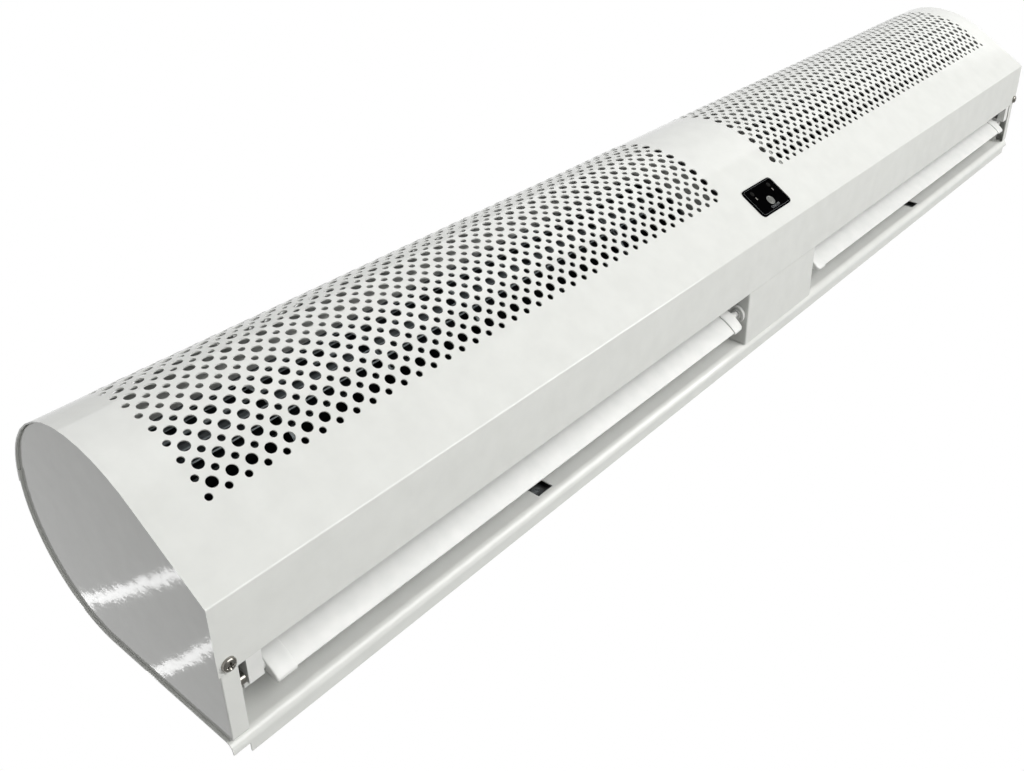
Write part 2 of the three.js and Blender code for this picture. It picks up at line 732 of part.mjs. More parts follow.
// End cap of a vane: a moulded shoe with a pin that turns in the pivot block or the pivot disc.
function vaneCap(side, near, far, pinNear, pinFar, pocketNear) {
  const shoe = runOn(side, vaneOutline(capWall + seat), near, far);
  const boss = barOn(side, near, far, vaneAxis, pinRadius + 1.5, 16);
  const pocket = runOn(side, vaneOutline(seat), pocketNear, pocketNear + capGrip + 1);
  return shoe.add(boss).add(barOn(side, pinNear, pinFar, vaneAxis, pinRadius, 16)).subtract(pocket);
}

// Pivot block at a vane's outer end, with its foot on the bearing bracket.
function pivotBlock(side) {
  const rear = vaneDepth - blockHalf;
  const front = vaneDepth + blockHalf;
  let body = blockOn(side, blockInner, blockOuter, rear, front, blockArmHigh - 3, 2 * vaneHeight);
  body = body.add(blockOn(side, blockInner, blockOuter, blockArmRear, coverEdgeDepth - blockArmGap,
    blockArmLow, blockArmHigh));
  body = body.add(blockOn(side, blockOuter - 0.5, bracketInner - touch,
    rear - 2, front + 2, bracketFoot, 2 * vaneHeight + 12));
  const ribTop = 2 * vaneHeight + 10;
  for (const place of [blockInner + blockRib / 2, (blockInner + blockOuter - blockRib) / 2]) {
    body = body.add(blockOn(side, place, place + blockRib, rear + 2, front - 3, vaneHeight, ribTop));
  }
  body = body.add(blockOn(side, blockInner + blockRib / 2, blockOuter, vaneDepth - 1, vaneDepth + 1,
    vaneHeight, ribTop));
  return body.subtract(barOn(side, blockInner - 1, blockOuter - 2.8, vaneAxis, pinRadius + seat, 16));
}

// Pivot disc at a vane's inner end, with a spigot in the folded side of the bay's outlet face.
function pivotDisc(side) {
  const spigot = barOn(side, bayWallOuter + seat, bayHalf + touch + 1, vaneAxis, pinRadius + 2, 20);
  const face = bayHalf + touch + pivotDiscThickness;
  const recess = barOn(side, face - 1.2, face + 1, vaneAxis, pivotDiscRadius - 1.6, 24)
    .subtract(barOn(side, face - 2, face + 2, vaneAxis, pinRadius + 1.6, 20));
  return barOn(side, bayHalf + touch, face, vaneAxis, pivotDiscRadius, 28)
    .add(spigot)
    .subtract(recess)
    .subtract(barOn(side, bayHalf + 1, bayHalf + 9, vaneAxis, pinRadius + seat, 16));
}

// Spring clip: a strip bent like a J in the bracket's notch, which holds the pivot block down.
function springClip(side) {
  const curl = arc(at(clipDepth, clipCurl + 1.6), clipCurl, 0, -Math.PI, 8);
  const line = [
    at(clipDepth + clipCurl + 1.1, notchTop - seat),
    ...curl,
    at(clipDepth - clipCurl + 0.2, 2 * clipCurl + 1.7),
  ];
  return runOn(side, bentSheet(line, -0.8), blockOuter + 0.8, half - endFlange - seat);
}

// Outlet face of the motor bay: a channel whose folded sides close the ends of the slots.
function bayFace() {
  const rear = sheet + seat;
  const front = coverEdgeDepth - seat;
  const outside = block(-bayHalf, bayHalf, rear, front, 0, bayFold);
  const inside = block(-bayHalf + sheet, bayHalf - sheet, rear - 1, front + 1, sheet, bayFold + 1);
  const holes = barAlong(-bayHalf - 1, bayHalf + 1, vaneAxis, pinRadius + 2 + seat, 20);
  return outside.subtract(inside).subtract(holes);
}

add('bay_outlet_face', bayFace(), whitePaint);

for (const [side, hand] of [[-1, 'left'], [1, 'right']]) {
  const capPocketOuter = vaneOuter - 1;
  add(`end_plate_${hand}`, endPlate(side), whitePaint);
  add(`bearing_bracket_${hand}`, bearingBracket(side), whitePaint);
  add(`bay_wall_${hand}`, bayWall(side), whitePaint);
  add(`rear_guide_${hand}`, rearGuide(side), zincSteel);
  add(`air_tongue_${hand}`, airTongue(side), zincSteel);
  add(`impeller_${hand}`, impeller(side), aluminium);
  add(`stub_shaft_${hand}`, stubShaft(side), zincSteel);
  add(`ball_bearing_${hand}`, bearing(side), nickel);
  add(`bearing_bush_${hand}`, bearingBush(side), rubber);
  add(`motor_end_bell_${hand}`, endBell(side), aluminium);
  add(`motor_ring_${hand}`, rubberRing(side), rubber);
  add(`motor_clamp_${hand}`, motorClamp(side), zincSteel);
  add(`vane_${hand}`, outletVane(side), whitePlastic);
  add(`vane_cap_outer_${hand}`,
    vaneCap(side, vaneOuter, capOuter, capOuter - 1, blockOuter - 3.4, capPocketOuter), whitePlastic);
  add(`vane_cap_inner_${hand}`,
    vaneCap(side, capInner, vaneInner, bayHalf + 1.4, capInner + 1, vaneInner - capGrip), whitePlastic);
  add(`pivot_block_${hand}`, pivotBlock(side), whitePlastic);
  add(`pivot_disc_${hand}`, pivotDisc(side), whitePlastic);
  add(`spring_clip_${hand}`, springClip(side), nickel);
}

// Control panel: fascia, housing, board and switch, button, lights and receiver windows.
const boardTop = -housingDepth + 6.6;
const fasciaBack = touch;
const buttonFlange = 0.8;

function fascia() {
  let face = solid(panelSlab(fasciaWidth, fasciaHeight, fasciaCorner, fasciaBack, fasciaThickness));
  face = face.subtract(panelBar(0, buttonOffset, -1, 3, buttonRadius + seat));
  for (const side of [-1, 1]) {
    face = face.subtract(panelBlock(side * lightPlace, lightOffset, 3.2 + seat, 1.6 + seat, -1, 3));
    face = face.subtract(panelBar(side * lightPlace, receiverOffset, -1, 3, receiverRadius + seat / 2, 12));
  }
  return face;
}

function housing() {
  const [width, height] = [cutoutWidth - 2 * seat, cutoutHeight - 2 * seat];
  const tray = solid(panelSlab(width, height, fasciaCorner / 2, -housingDepth, fasciaBack - touch));
  return tray.subtract(panelBlock(0, 0, width - 2.4, height - 2.4, -housingDepth + plate, 2));
}

function pushButton() {
  const top = fasciaThickness + buttonProud;
  const flangeTop = -seat;
  return panelBar(0, buttonOffset, flangeTop - buttonFlange, top, buttonRadius)
    .add(panelBar(0, buttonOffset, flangeTop - buttonFlange, flangeTop, buttonRadius + 1));
}

add('control_fascia', fascia(), blackPlastic, panel);
add('control_housing', housing(), darkPlastic, panel);
add('push_button', pushButton(), nickel, panel);

const boardWidth = cutoutWidth - 4;
const boardHeight = cutoutHeight - 4;
add('circuit_board',
  panelBlock(0, 0, boardWidth, boardHeight, -housingDepth + plate + touch, boardTop), greenBoard, panel);
const switchTop = -seat - buttonFlange - buttonTravel - seat;
add('switch_body',
  panelBlock(0, buttonOffset, 6, 6, boardTop + touch, switchTop), darkPlastic, panel);

for (const [side, hand] of [[-1, 'left'], [1, 'right']]) {
  add(`light_${hand}`, panelBlock(side * lightPlace, lightOffset, 3.2, 1.6,
    boardTop + touch, fasciaThickness - 0.1), whitePlastic, panel);
  add(`receiver_${hand}`, panelBar(side * lightPlace, receiverOffset,
    boardTop + touch, fasciaThickness - 0.2, receiverRadius, 12), blackPlastic, panel);
}

// Electrical pieces in the bay, below the motor, on the rear panel.
add('run_capacitor', block(
  capacitorPlace - capacitorLength / 2, capacitorPlace + capacitorLength / 2,
  lap, lap + capacitorDepth, bayShelf, bayShelf + capacitorHeight), darkPlastic);

function terminalBlock() {
  const reach = (terminalWays * terminalPitch) / 2;
  const middle = bayShelf + terminalHeight / 2;
  const front = lap + terminalDepth;
  let strip = block(terminalPlace - reach, terminalPlace + reach,
    lap, front, bayShelf, bayShelf + terminalHeight);
  for (let i = 0; i < terminalWays; i += 1) {
    const x = terminalPlace - reach + (i + 0.5) * terminalPitch;
    strip = strip.subtract(barDeep(x, middle, front - 7, front + 1, terminalHole, 8));
  }
  return strip;
}

add('terminal_block', terminalBlock(), whitePlastic);

function cableGrommet() {
  const rim = cableRadius + 6;
  const neck = cableRadius + 3;
  const outer = barDeep(cablePlace, cableHeight, -4, -touch, rim, 20)
    .add(barDeep(cablePlace, cableHeight, sheet + touch, sheet + 3, rim, 20))
    .add(barDeep(cablePlace, cableHeight, -2, sheet + 1, neck, 20));
  return outer.subtract(barDeep(cablePlace, cableHeight, -6, sheet + 6, cableRadius, 16));
}

add('cable_grommet', cableGrommet(), rubber);

const airCurtain = new THREE.Group();
airCurtain.name = 'air_curtain';
airCurtain.add(casing);

export default airCurtain;
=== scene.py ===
"""Looks of an air curtain for a doorway 1.2 m wide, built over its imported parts.

The sections follow the order in which the real one is put together. They give lengths in
millimetres: x along the length, depth out from the rear panel towards the room, and height
above the outlet plane.
"""
import math

import bmesh
import bpy
import numpy as np
from mathutils import Matrix


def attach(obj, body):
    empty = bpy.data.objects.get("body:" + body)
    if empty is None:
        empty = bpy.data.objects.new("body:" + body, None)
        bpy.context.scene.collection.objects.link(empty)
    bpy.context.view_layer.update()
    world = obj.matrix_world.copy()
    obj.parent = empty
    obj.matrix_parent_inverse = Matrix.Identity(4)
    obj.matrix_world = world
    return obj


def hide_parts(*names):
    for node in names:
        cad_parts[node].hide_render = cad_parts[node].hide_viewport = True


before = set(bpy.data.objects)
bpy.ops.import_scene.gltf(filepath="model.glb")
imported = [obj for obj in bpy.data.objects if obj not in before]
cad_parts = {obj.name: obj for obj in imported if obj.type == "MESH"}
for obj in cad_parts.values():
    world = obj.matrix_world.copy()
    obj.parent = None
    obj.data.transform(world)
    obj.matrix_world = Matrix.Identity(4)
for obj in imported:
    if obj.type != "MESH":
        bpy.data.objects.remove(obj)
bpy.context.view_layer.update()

# ---------------------------------------------------------------------------------------------
# Front cover. One sheet of 1 mm mild steel, punched flat with two sizes of round hole, rolled to
# the nose and the dome and folded once at the outlet. Glossy white powder coat over all of it.

length = 1200
half = length / 2
sheet = 1
stand_off = 13  # from the wall to the rear panel
mount_height = 54  # origin above the outlet plane
slot_front = 52.5  # the cover's lower edge, in front of the slots
crease_depth = 100
flare = 32.4  # lean of the flat front, degrees from upright
flare_length = 69
nose_radius = 112
lap = 1.3  # a sheet and the gap to the next one
front_depth = crease_depth + flare_length * math.sin(math.radians(flare)) \
    + nose_radius * (1 - math.cos(math.radians(flare)))
dome_height = flare_length * math.cos(math.radians(flare)) \
    + nose_radius * math.sin(math.radians(flare))
dome_radius = (front_depth + lap) / 2
rear_radius = dome_radius - lap
fold_radius = 1.5


def to_world(points):
    """x, depth and height in mm become metres in the shared frame, where depth runs along -y."""
    points = np.asarray(points, float)
    return np.stack([points[..., 0], -points[..., 1] - stand_off, points[..., 2] - mount_height],
                    -1) / 1000


def bent_line(start, heading, moves, where):
    """A folded sheet's section at distances along it. Each move is a length and a turn in degrees;
    s into a move of length L and turn T the heading is h + T s / L, so the chord to that point has
    the length s sin(a) / a and the heading h + a, with a = T s / 2 L. Gives places and normals,
    which point to the right of the heading."""
    lengths = np.array([move[0] for move in moves], float)
    turns = np.radians([move[1] for move in moves])
    begins = np.concatenate([[0], np.cumsum(lengths)])
    headings = math.radians(heading) + np.concatenate([[0], np.cumsum(turns)])

    def chords(distance, first, turn):
        reach = distance * np.sinc(turn / (2 * np.pi))
        return reach[:, None] * np.stack([np.cos(first + turn / 2), np.sin(first + turn / 2)], 1)

    corners = np.array(start, float) + np.concatenate(
        [[[0, 0]], np.cumsum(chords(lengths, headings[:-1], turns), 0)])
    where = np.asarray(where, float)
    i = np.clip(np.searchsorted(begins, where, "right") - 1, 0, len(lengths) - 1)
    into = where - begins[i]
    turned = turns[i] * into / lengths[i]
    outward = headings[i] + turned - np.pi / 2
    return (corners[i] + chords(into, headings[i], turned),
            np.stack([np.cos(outward), np.sin(outward)], 1))


def stations(moves, bend_step=6):
    """Distances along a section's moves: both ends of each, and in bends steps of some degrees."""
    begins = np.concatenate([[0], np.cumsum([move[0] for move in moves])])
    counts = [max(1, math.ceil(abs(turn) / bend_step)) for _, turn in moves]
    runs = [np.linspace(a, b, n + 1)[:-1] for a, b, n in zip(begins, begins[1:], counts)]
    return np.concatenate([*runs, begins[-1:]])


def placed(name, data):
    """An object of the scene for a mesh, a lamp or a camera."""
    piece = bpy.data.objects.new(name, data)
    bpy.context.scene.collection.objects.link(piece)
    return piece


def sheet_piece(name, points, normals, faces):
    """A sheet from its outer face: the inner face is each point less one sheet along its normal,
    and a strip closes every free edge. The shading follows the given normals, and the edges stay
    sharp."""
    points, normals = np.asarray(points, float), np.asarray(normals, float)
    count = len(points)
    both = np.concatenate([points, points - sheet * normals])
    edges = np.concatenate([np.stack([f, np.roll(f, -1, 1)], 2).reshape(-1, 2) for f in faces])
    _, first, uses = np.unique(np.sort(edges, 1), axis=0, return_index=True, return_counts=True)
    a, b = edges[first[uses == 1]].T
    rim = np.stack([b, a, a + count, b + count], 1)
    inner = [f[:, ::-1] + count for f in faces]
    mesh = bpy.data.meshes.new(name)
    spots = to_world(both)
    mesh.from_pydata(spots.tolist(), [], sum((f.tolist() for f in [*faces, *inner, rim]), []))
    turned = normals * [1, -1, 1]
    across = np.cross(spots[b] - spots[a], spots[a + count] - spots[a])
    across /= -np.linalg.norm(across, axis=1, keepdims=True)
    outer_normals = [turned[f].reshape(-1, 3) for f in faces]
    inner_normals = [-turned[f - count].reshape(-1, 3) for f in inner]
    mesh.shade_smooth()
    mesh.normals_split_custom_set(np.concatenate(
        [*outer_normals, *inner_normals, np.repeat(across, 4, 0)]).tolist())
    return placed(name, mesh)


fold = math.radians(90 - flare) * fold_radius
fold_reach = fold_radius * math.tan(math.radians(90 - flare) / 2)
cover_start, cover_heading = (slot_front, 0), 0
cover_moves = [
    (crease_depth - slot_front - fold_reach, 0),
    (fold, 90 - flare),
    (flare_length - fold_reach, 0),
    (nose_radius * math.radians(flare), flare),
    (dome_radius * math.radians(85), 85),
]
crease_at = crease_depth - slot_front - 2 * fold_reach + fold  # as if the fold were sharp

cell = 6.5  # half the pitch of the holes, both ways
field_inner = 43.5  # edges of the punched field, from the middle
field_start = crease_at + 44  # and along the sheet
columns, rows = 81, 26  # lattice steps across a field and up it
small_radius, large_radius = 2.4, 3.7
panel_half = 21  # cut-out for the control panel
panel_low, panel_high = crease_at + 17.55, crease_at + 41.05


def diamonds(p, q, radius, sides):
    """Diamonds of the lattice, each round a hole: points at (p, q) + radius (cos, sin), with fans
    of triangles from each corner to its quarter of the hole and one triangle between two fans."""
    p, q = (grid.reshape(-1, 1) for grid in np.meshgrid(p, q, indexing="ij"))
    turn = 2 * np.pi * np.arange(sides) / sides
    ring = np.stack([p + radius / cell * np.cos(turn), q + radius / cell * np.sin(turn)], 2)
    corner = np.stack([p + [1, 0, -1, 0], q + [0, 1, 0, -1]], 2)
    step, quarter = np.arange(sides), np.arange(4)
    nearest = sides + ((step + 0.5) * 4 / sides + 0.5).astype(int) % 4
    fans = np.stack([nearest, (step + 1) % sides, step], 1)
    joins = np.stack([sides + quarter, sides + (quarter + 1) % 4,
                      ((quarter + 0.5) * sides / 4).astype(int)], 1)
    points = np.concatenate([ring, corner], 1)
    return points[:, np.concatenate([fans, joins])].reshape(-1, 3, 2)


def edge_triangles(p, q, corners):
    """The same triangle at each of the places (p, q), its corners given from there."""
    p, q = np.broadcast_arrays(p, q)
    return np.stack([np.stack([p + a, q + b], 1) for a, b in corners], 1)


def rectangles(x, along):
    """Triangles of a plain stretch of sheet between the given stations."""
    a, b = (grid.ravel() for grid in np.meshgrid(np.arange(len(x) - 1), np.arange(len(along) - 1)))
    square = [np.stack([x[a + i], along[b + j]], 1) for i, j in ((0, 0), (1, 0), (1, 1), (0, 1))]
    return np.concatenate([np.stack([square[k] for k in t], 1) for t in ((0, 1, 2), (0, 2, 3))])


def front_cover():
    """The flat pattern (x, distance along the sheet) as triangles, then bent to the section."""
    even_p, even_q, odd_q = np.arange(0, 80, 2), np.arange(0, 26, 2), np.arange(1, 24, 2)
    field = np.concatenate([
        diamonds(np.arange(2, 81, 2), np.arange(1, 26, 2), small_radius, 16),
        diamonds(np.arange(1, 80, 2), np.arange(2, 25, 2), large_radius, 24),
        edge_triangles(even_p, 0, ((0, 0), (2, 0), (1, 1))),
        edge_triangles(even_p, rows, ((0, 0), (1, -1), (2, 0))),
        edge_triangles(0, even_q, ((0, 0), (1, 1), (0, 2))),
        edge_triangles(columns, odd_q, ((0, 0), (0, 2), (-1, 1))),
        edge_triangles(np.array([80]), 0, ((0, 0), (1, 0), (1, 1))),
        edge_triangles(np.array([80]), rows, ((0, 0), (1, -1), (1, 0))),
    ])
    field = field * cell + [field_inner, field_start]
    field_x = field_inner + cell * np.concatenate([np.arange(0, 81, 2), [columns]])
    side_x = np.concatenate([field_x, [half]])
    middle_x = np.array([-field_inner, -panel_half, panel_half, field_inner])
    field_rows = field_start + cell * np.concatenate([[0], odd_q, [25, rows]])
    plain_rows = field_start + cell * np.arange(0, 27, 2)
    low = np.unique(np.round(np.concatenate([
        stations(cover_moves[:3]), [panel_low, panel_high, field_start]]), 6))
    low = low[low < field_start + 0.01]
    end = sum(move[0] for move in cover_moves)
    high = np.linspace(field_start + cell * rows, end, 7)
    side = np.concatenate([
        field,
        rectangles(side_x, low),
        rectangles(side_x, high),
        rectangles(side_x[-2:], field_rows),
    ])
    below, above = low[low < panel_low + 0.01], low[low > panel_high - 0.01]
    beside = low[(low > panel_low - 0.01) & (low < panel_high + 0.01)]
    middle = np.concatenate([
        rectangles(middle_x, below),
        rectangles(middle_x[:2], beside),
        rectangles(middle_x[2:], beside),
        rectangles(middle_x, above),
        rectangles(middle_x, plain_rows),
        rectangles(middle_x, high),
    ])
    triangles = np.concatenate([side, (side * [-1, 1])[:, ::-1], middle])
    flat, faces = np.unique(np.round(triangles.reshape(-1, 2), 4), axis=0, return_inverse=True)
    place, normal = bent_line(cover_start, cover_heading, cover_moves, flat[:, 1])
    return sheet_piece("front_cover_sheet", np.column_stack([flat[:, 0], place]),
                       np.column_stack([np.zeros(len(flat)), normal]), [faces.reshape(-1, 3)])


def linear(colour):
    """sRGB hex to linear light: c / 12.92 up to 0.04045, else ((c + 0.055) / 1.055) ** 2.4."""
    parts = [int(colour[i:i + 2], 16) / 255 for i in (1, 3, 5)]
    return (*(c / 12.92 if c <= 0.04045 else ((c + 0.055) / 1.055) ** 2.4 for c in parts), 1)


def add_node(tree, kind, inputs=(), **settings):
    """One node with its settings; an input takes a value, or a link where it is given a socket."""
    node = tree.nodes.new("ShaderNode" + kind)
    for name, value in settings.items():
        setattr(node, name, value)
    for name, value in dict(inputs).items():
        if isinstance(value, bpy.types.NodeSocket):
            tree.links.new(value, node.inputs[name])
        else:
            node.inputs[name].default_value = value
    return node


def new_finish(name):
    """An empty material with its node tree and the place of a point on the object."""
    finish = bpy.data.materials.new(name)
    finish.use_nodes = True
    finish.node_tree.nodes.clear()
    return finish, finish.node_tree, add_node(finish.node_tree, "TexCoord").outputs["Object"]


def powder_coat():
    """Polyester powder, sprayed on and baked: a smooth plastic gloss over fine orange peel about
    2.5 mm across, slow waves of the thin sheet below it, and a faint mottle in the white."""
    finish, tree, place = new_finish("powder_coat_white")
    peel = add_node(tree, "TexNoise", {"Vector": place, "Scale": 400, "Detail": 1.5})
    waves = add_node(tree, "TexNoise", {"Vector": place, "Scale": 22, "Detail": 2})
    mottle = add_node(tree, "TexNoise", {"Vector": place, "Scale": 60, "Detail": 4})
    ripple = add_node(tree, "TexNoise", {"Vector": place, "Scale": 130, "Detail": 2})
    sheet_waves = add_node(tree, "Bump", {"Height": waves.outputs["Fac"], "Distance": 0.00022})
    low = add_node(tree, "Bump", {"Height": ripple.outputs["Fac"], "Distance": 0.00003,
                                  "Normal": sheet_waves.outputs["Normal"]})
    fine = add_node(tree, "Bump", {
        "Height": peel.outputs["Fac"], "Distance": 0.000016, "Normal": low.outputs["Normal"]})
    tint = add_node(tree, "ValToRGB", {"Fac": mottle.outputs["Fac"]})
    tint.color_ramp.elements[0].position, tint.color_ramp.elements[0].color = 0.3, linear("#dcddd9")
    tint.color_ramp.elements[1].position, tint.color_ramp.elements[1].color = 0.7, linear("#e1e2de")
    gloss = add_node(tree, "MapRange", {"Value": mottle.outputs["Fac"], 3: 0.035, 4: 0.07})
    shader = add_node(tree, "BsdfPrincipled", {
        "Base Color": tint.outputs["Color"], "Roughness": gloss.outputs["Result"], "IOR": 1.5,
        "Normal": fine.outputs["Normal"]})
    add_node(tree, "OutputMaterial", {"Surface": shader.outputs["BSDF"]})
    return finish


def fit(piece, node, finish, body="casing"):
    """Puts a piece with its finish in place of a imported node, on the body that carries it."""
    piece.data.materials.append(finish)
    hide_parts(node)
    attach(piece, body)


white_coat = powder_coat()
fit(front_cover(), "front_cover", white_coat)

# ---------------------------------------------------------------------------------------------
# Rear panel. A second 1 mm sheet that starts under the cover's top edge, comes down the back and
# is rolled out to the wall below a rounded lip. Notched and pierced before bending; same coat.

lip_radius = 6
rear_from = 78  # where it starts below the cover, degrees up the dome
rear_start = (rear_radius * (1 + math.cos(math.radians(rear_from))),
              dome_height + rear_radius * math.sin(math.radians(rear_from)))
rear_moves = [
    (rear_radius * math.radians(180 - rear_from), 180 - rear_from),
    (dome_height - lip_radius, 0),
    ((lip_radius - sheet) * math.pi / 2, -90),
    (stand_off - 0.3 - (lip_radius - sheet), 0),
]
rear_down = rear_moves[0][0] + dome_height  # minus a height, the distance along the panel
window_place, window_half, window_low, window_high = 325.8, 7.75, 7.6, 18.8
cable_place, cable_height, cable_half = 30, 62, 7.7
hook_places, hook_half, hook_low, hook_high = (200, 450), 11, 88.7, 99
notch_from, notch_depth = 589, 6.7  # the flange is cut back at both ends


def pierced(x, along, openings):
    """A grid of squares between stations in x and along a section, without those in an opening
    (x from and to, distance from and to). Gives the flat points and the faces."""
    x = np.unique(np.round(np.concatenate([x, *[[o[0], o[1]] for o in openings]]), 5))
    along = np.unique(np.round(np.concatenate([along, *[[o[2], o[3]] for o in openings]]), 5))
    a, b = (grid.ravel() for grid in np.meshgrid(np.arange(len(x) - 1), np.arange(len(along) - 1)))
    centre_x, centre_along = (x[a] + x[a + 1]) / 2, (along[b] + along[b + 1]) / 2
    kept = np.ones(len(a), bool)
    for x_from, x_to, from_, to in openings:
        kept &= ~((centre_x > x_from) & (centre_x < x_to)
                  & (centre_along > from_) & (centre_along < to))
    a, b = a[kept], b[kept]
    wide = len(x)
    faces = np.stack([b * wide + a, b * wide + a + 1,
                      (b + 1) * wide + a + 1, (b + 1) * wide + a], 1)
    used, faces = np.unique(faces, return_inverse=True)
    flat = np.stack([x[used % wide], along[used // wide]], 1)
    return flat, faces.reshape(-1, 4)


def rear_panel(openings):
    """The panel's section, run along x over the whole length."""
    flat, faces = pierced(np.array([-half, half]), stations(rear_moves, 4), openings)
    place, normal = bent_line(rear_start, rear_from + 90, rear_moves, flat[:, 1])
    return sheet_piece("rear_panel_sheet", np.column_stack([flat[:, 0], place]),
                       np.column_stack([np.zeros(len(flat)), normal]), [faces])


rear_end = sum(move[0] for move in rear_moves)
rear_openings = [
    (cable_place - cable_half, cable_place + cable_half,
     rear_down - cable_height - cable_half, rear_down - cable_height + cable_half)]
for side in (-1, 1):
    middle = side * window_place
    rear_openings.append((middle - window_half, middle + window_half,
                          rear_down - window_high, rear_down - window_low))
    for hook in hook_places:
        rear_openings.append((side * hook - hook_half, side * hook + hook_half,
                              rear_down - hook_high, rear_down - hook_low))
    rear_openings.append((*sorted((side * notch_from, side * half)),
                          rear_end - notch_depth, rear_end))
fit(rear_panel(rear_openings), "rear_panel", white_coat)

# ---------------------------------------------------------------------------------------------
# End plates. Pressed trays of the same sheet and coat, pushed a little way into the casing with
# their folded edge towards the middle, which a screw holds from below.

end_face = half - 1.6  # the flat face, a little inside the casing's rim
end_edge = half - 12.5  # the free end of the folded edge
end_corner = 3  # bends of the folded edge's outline
end_bend = 0.8  # from the folded edge to the flat face
joggle_at = rear_from - 1  # where the outline steps in under the cover, degrees up the dome


def casing_ring():
    """The closed inside of the casing at one lap from its outer faces: the underside, the crease,
    flare, nose and dome, a joggle to the smaller circle below the cover, and the back."""
    lean = math.radians(flare)
    crease = crease_depth - lap * (1 - math.sin(lean)) / math.cos(lean)
    reach = end_corner * math.tan(math.radians(90 - flare) / 2)
    nose = nose_radius - lap
    nose_foot = (front_depth - nose_radius + nose * math.cos(math.radians(flare)),
                 dome_height - nose * math.sin(math.radians(flare)))
    front = [
        (crease - reach - lap - end_corner, 0),
        (end_corner * math.radians(90 - flare), 90 - flare),
        (math.dist((crease, lap), nose_foot) - reach, 0),
        (nose * math.radians(flare), flare),
        ((dome_radius - lap) * math.radians(joggle_at), joggle_at),
    ]
    small = rear_radius - lap
    back = [
        (small * math.radians(180 - rear_from), 180 - rear_from),
        (dome_height - lap - end_corner, 0),
        (end_corner * math.pi / 2, 90),
    ]
    back_start = (rear_radius + small * math.cos(math.radians(rear_from)),
                  dome_height + small * math.sin(math.radians(rear_from)))
    first = bent_line((lap + end_corner, lap), 0, front, stations(front, 4))
    second = bent_line(back_start, rear_from + 90, back, stations(back, 4)[:-1])
    return [np.concatenate(pair) for pair in zip(first, second)]


def ring_walls(rings, count, closed=False):
    """Squares between rings of count points each, one after the other; closed: the last ring joins
    the first."""
    ring, step = (grid.ravel() for grid in np.meshgrid(
        np.arange(rings if closed else rings - 1), np.arange(count)))
    after, above = (step + 1) % count, (ring + 1) % rings
    return np.stack([ring * count + step, ring * count + after,
                     above * count + after, above * count + step], 1)


def end_plate(side, hand):
    """Rings of the casing's inside line: straight along x on the folded edge, then a quarter turn
    of the bend's radius in to the flat face, which one face closes."""
    place, normal = casing_ring()
    count = len(place)
    turn = np.radians(np.linspace(0, 90, 6))
    x = np.concatenate([[end_edge], end_face - end_bend + end_bend * np.sin(turn)])
    inset = np.concatenate([[0], end_bend * (1 - np.cos(turn))])
    lean = np.concatenate([[0], turn])
    points = np.concatenate([
        np.column_stack([np.full(count, side * a), place - b * normal]) for a, b in zip(x, inset)])
    normals = np.concatenate([
        np.column_stack([np.full(count, side * math.sin(a)), math.cos(a) * normal]) for a in lean])
    walls = ring_walls(len(x), count)
    face = np.arange(count)[None] + (len(x) - 1) * count
    if side > 0:
        walls, face = walls[:, ::-1], face[:, ::-1]
    return sheet_piece(f"end_plate_{hand}_tray", points, normals, [walls, face])


for side, hand in ((-1, "left"), (1, "right")):
    fit(end_plate(side, hand), f"end_plate_{hand}", white_coat)

# ---------------------------------------------------------------------------------------------
# Outlet face of the motor bay. A channel of the same sheet between the two slots, whose folded
# sides close their inner ends; it is coated with the casing.

bay_half, bay_fold = 60, 26
bay_rear, bay_front = lap, slot_front - 0.3


def bay_face():
    """The channel's section in x and height, run along the depth."""
    corner = (fold_radius * math.pi / 2, 90)
    side_wall = (bay_fold - fold_radius, 0)
    moves = [side_wall, corner, (2 * (bay_half - fold_radius), 0), corner, side_wall]
    flat, faces = pierced(np.array([bay_rear, bay_front]), stations(moves, 15), [])
    place, normal = bent_line((-bay_half, bay_fold), -90, moves, flat[:, 1])
    return sheet_piece("bay_outlet_channel",
                       np.column_stack([place[:, 0], flat[:, 0], place[:, 1]]),
                       np.column_stack([normal[:, 0], np.zeros(len(flat)), normal[:, 1]]),
                       [faces[:, ::-1]])


fit(bay_face(), "bay_outlet_face", white_coat)


def dress(finish, *names):
    """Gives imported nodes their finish; a name that ends in an underscore stands for both hands."""
    for name in names:
        for node in ([name + "left", name + "right"] if name.endswith("_") else [name]):
            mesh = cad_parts[node].data
            mesh.materials.clear()
            mesh.materials.append(finish)


dress(white_coat, "bearing_bracket_", "bay_wall_")

# ---------------------------------------------------------------------------------------------
# Outlet vanes. Extruded strips with a slight camber and round edges, in white plastic, whose ends
# sit in moulded caps with pins; they turn in a block at one end and in a disc at the other.

vane_depth, vane_height, vane_tilt = 29.5, 11, 26.6
vane_half_chord, vane_edge, vane_camber = 13, 0.9, 2
cap_grip = 4.7  # length of the strip inside a cap
vane_inner, vane_outer = 83.6, 553.7  # ends of the strip that shows
cap_ends = (  # where each cap starts, where its shoe and its pin end, and its rounding
    ("outer", vane_outer, 567.5, 579.4, 0.6), ("inner", vane_inner - 0.3, 70, 61.4, 4))


def smooth_piece(name, points, faces, crease):
    """A piece from points in metres, smooth where neighbouring faces turn by less than a crease."""
    mesh = bpy.data.meshes.new(name)
    mesh.from_pydata(np.reshape(points, (-1, 3)).tolist(), [], faces)
    mesh.shade_smooth()
    mesh.set_sharp_from_angle(angle=math.radians(crease))
    return placed(name, mesh)


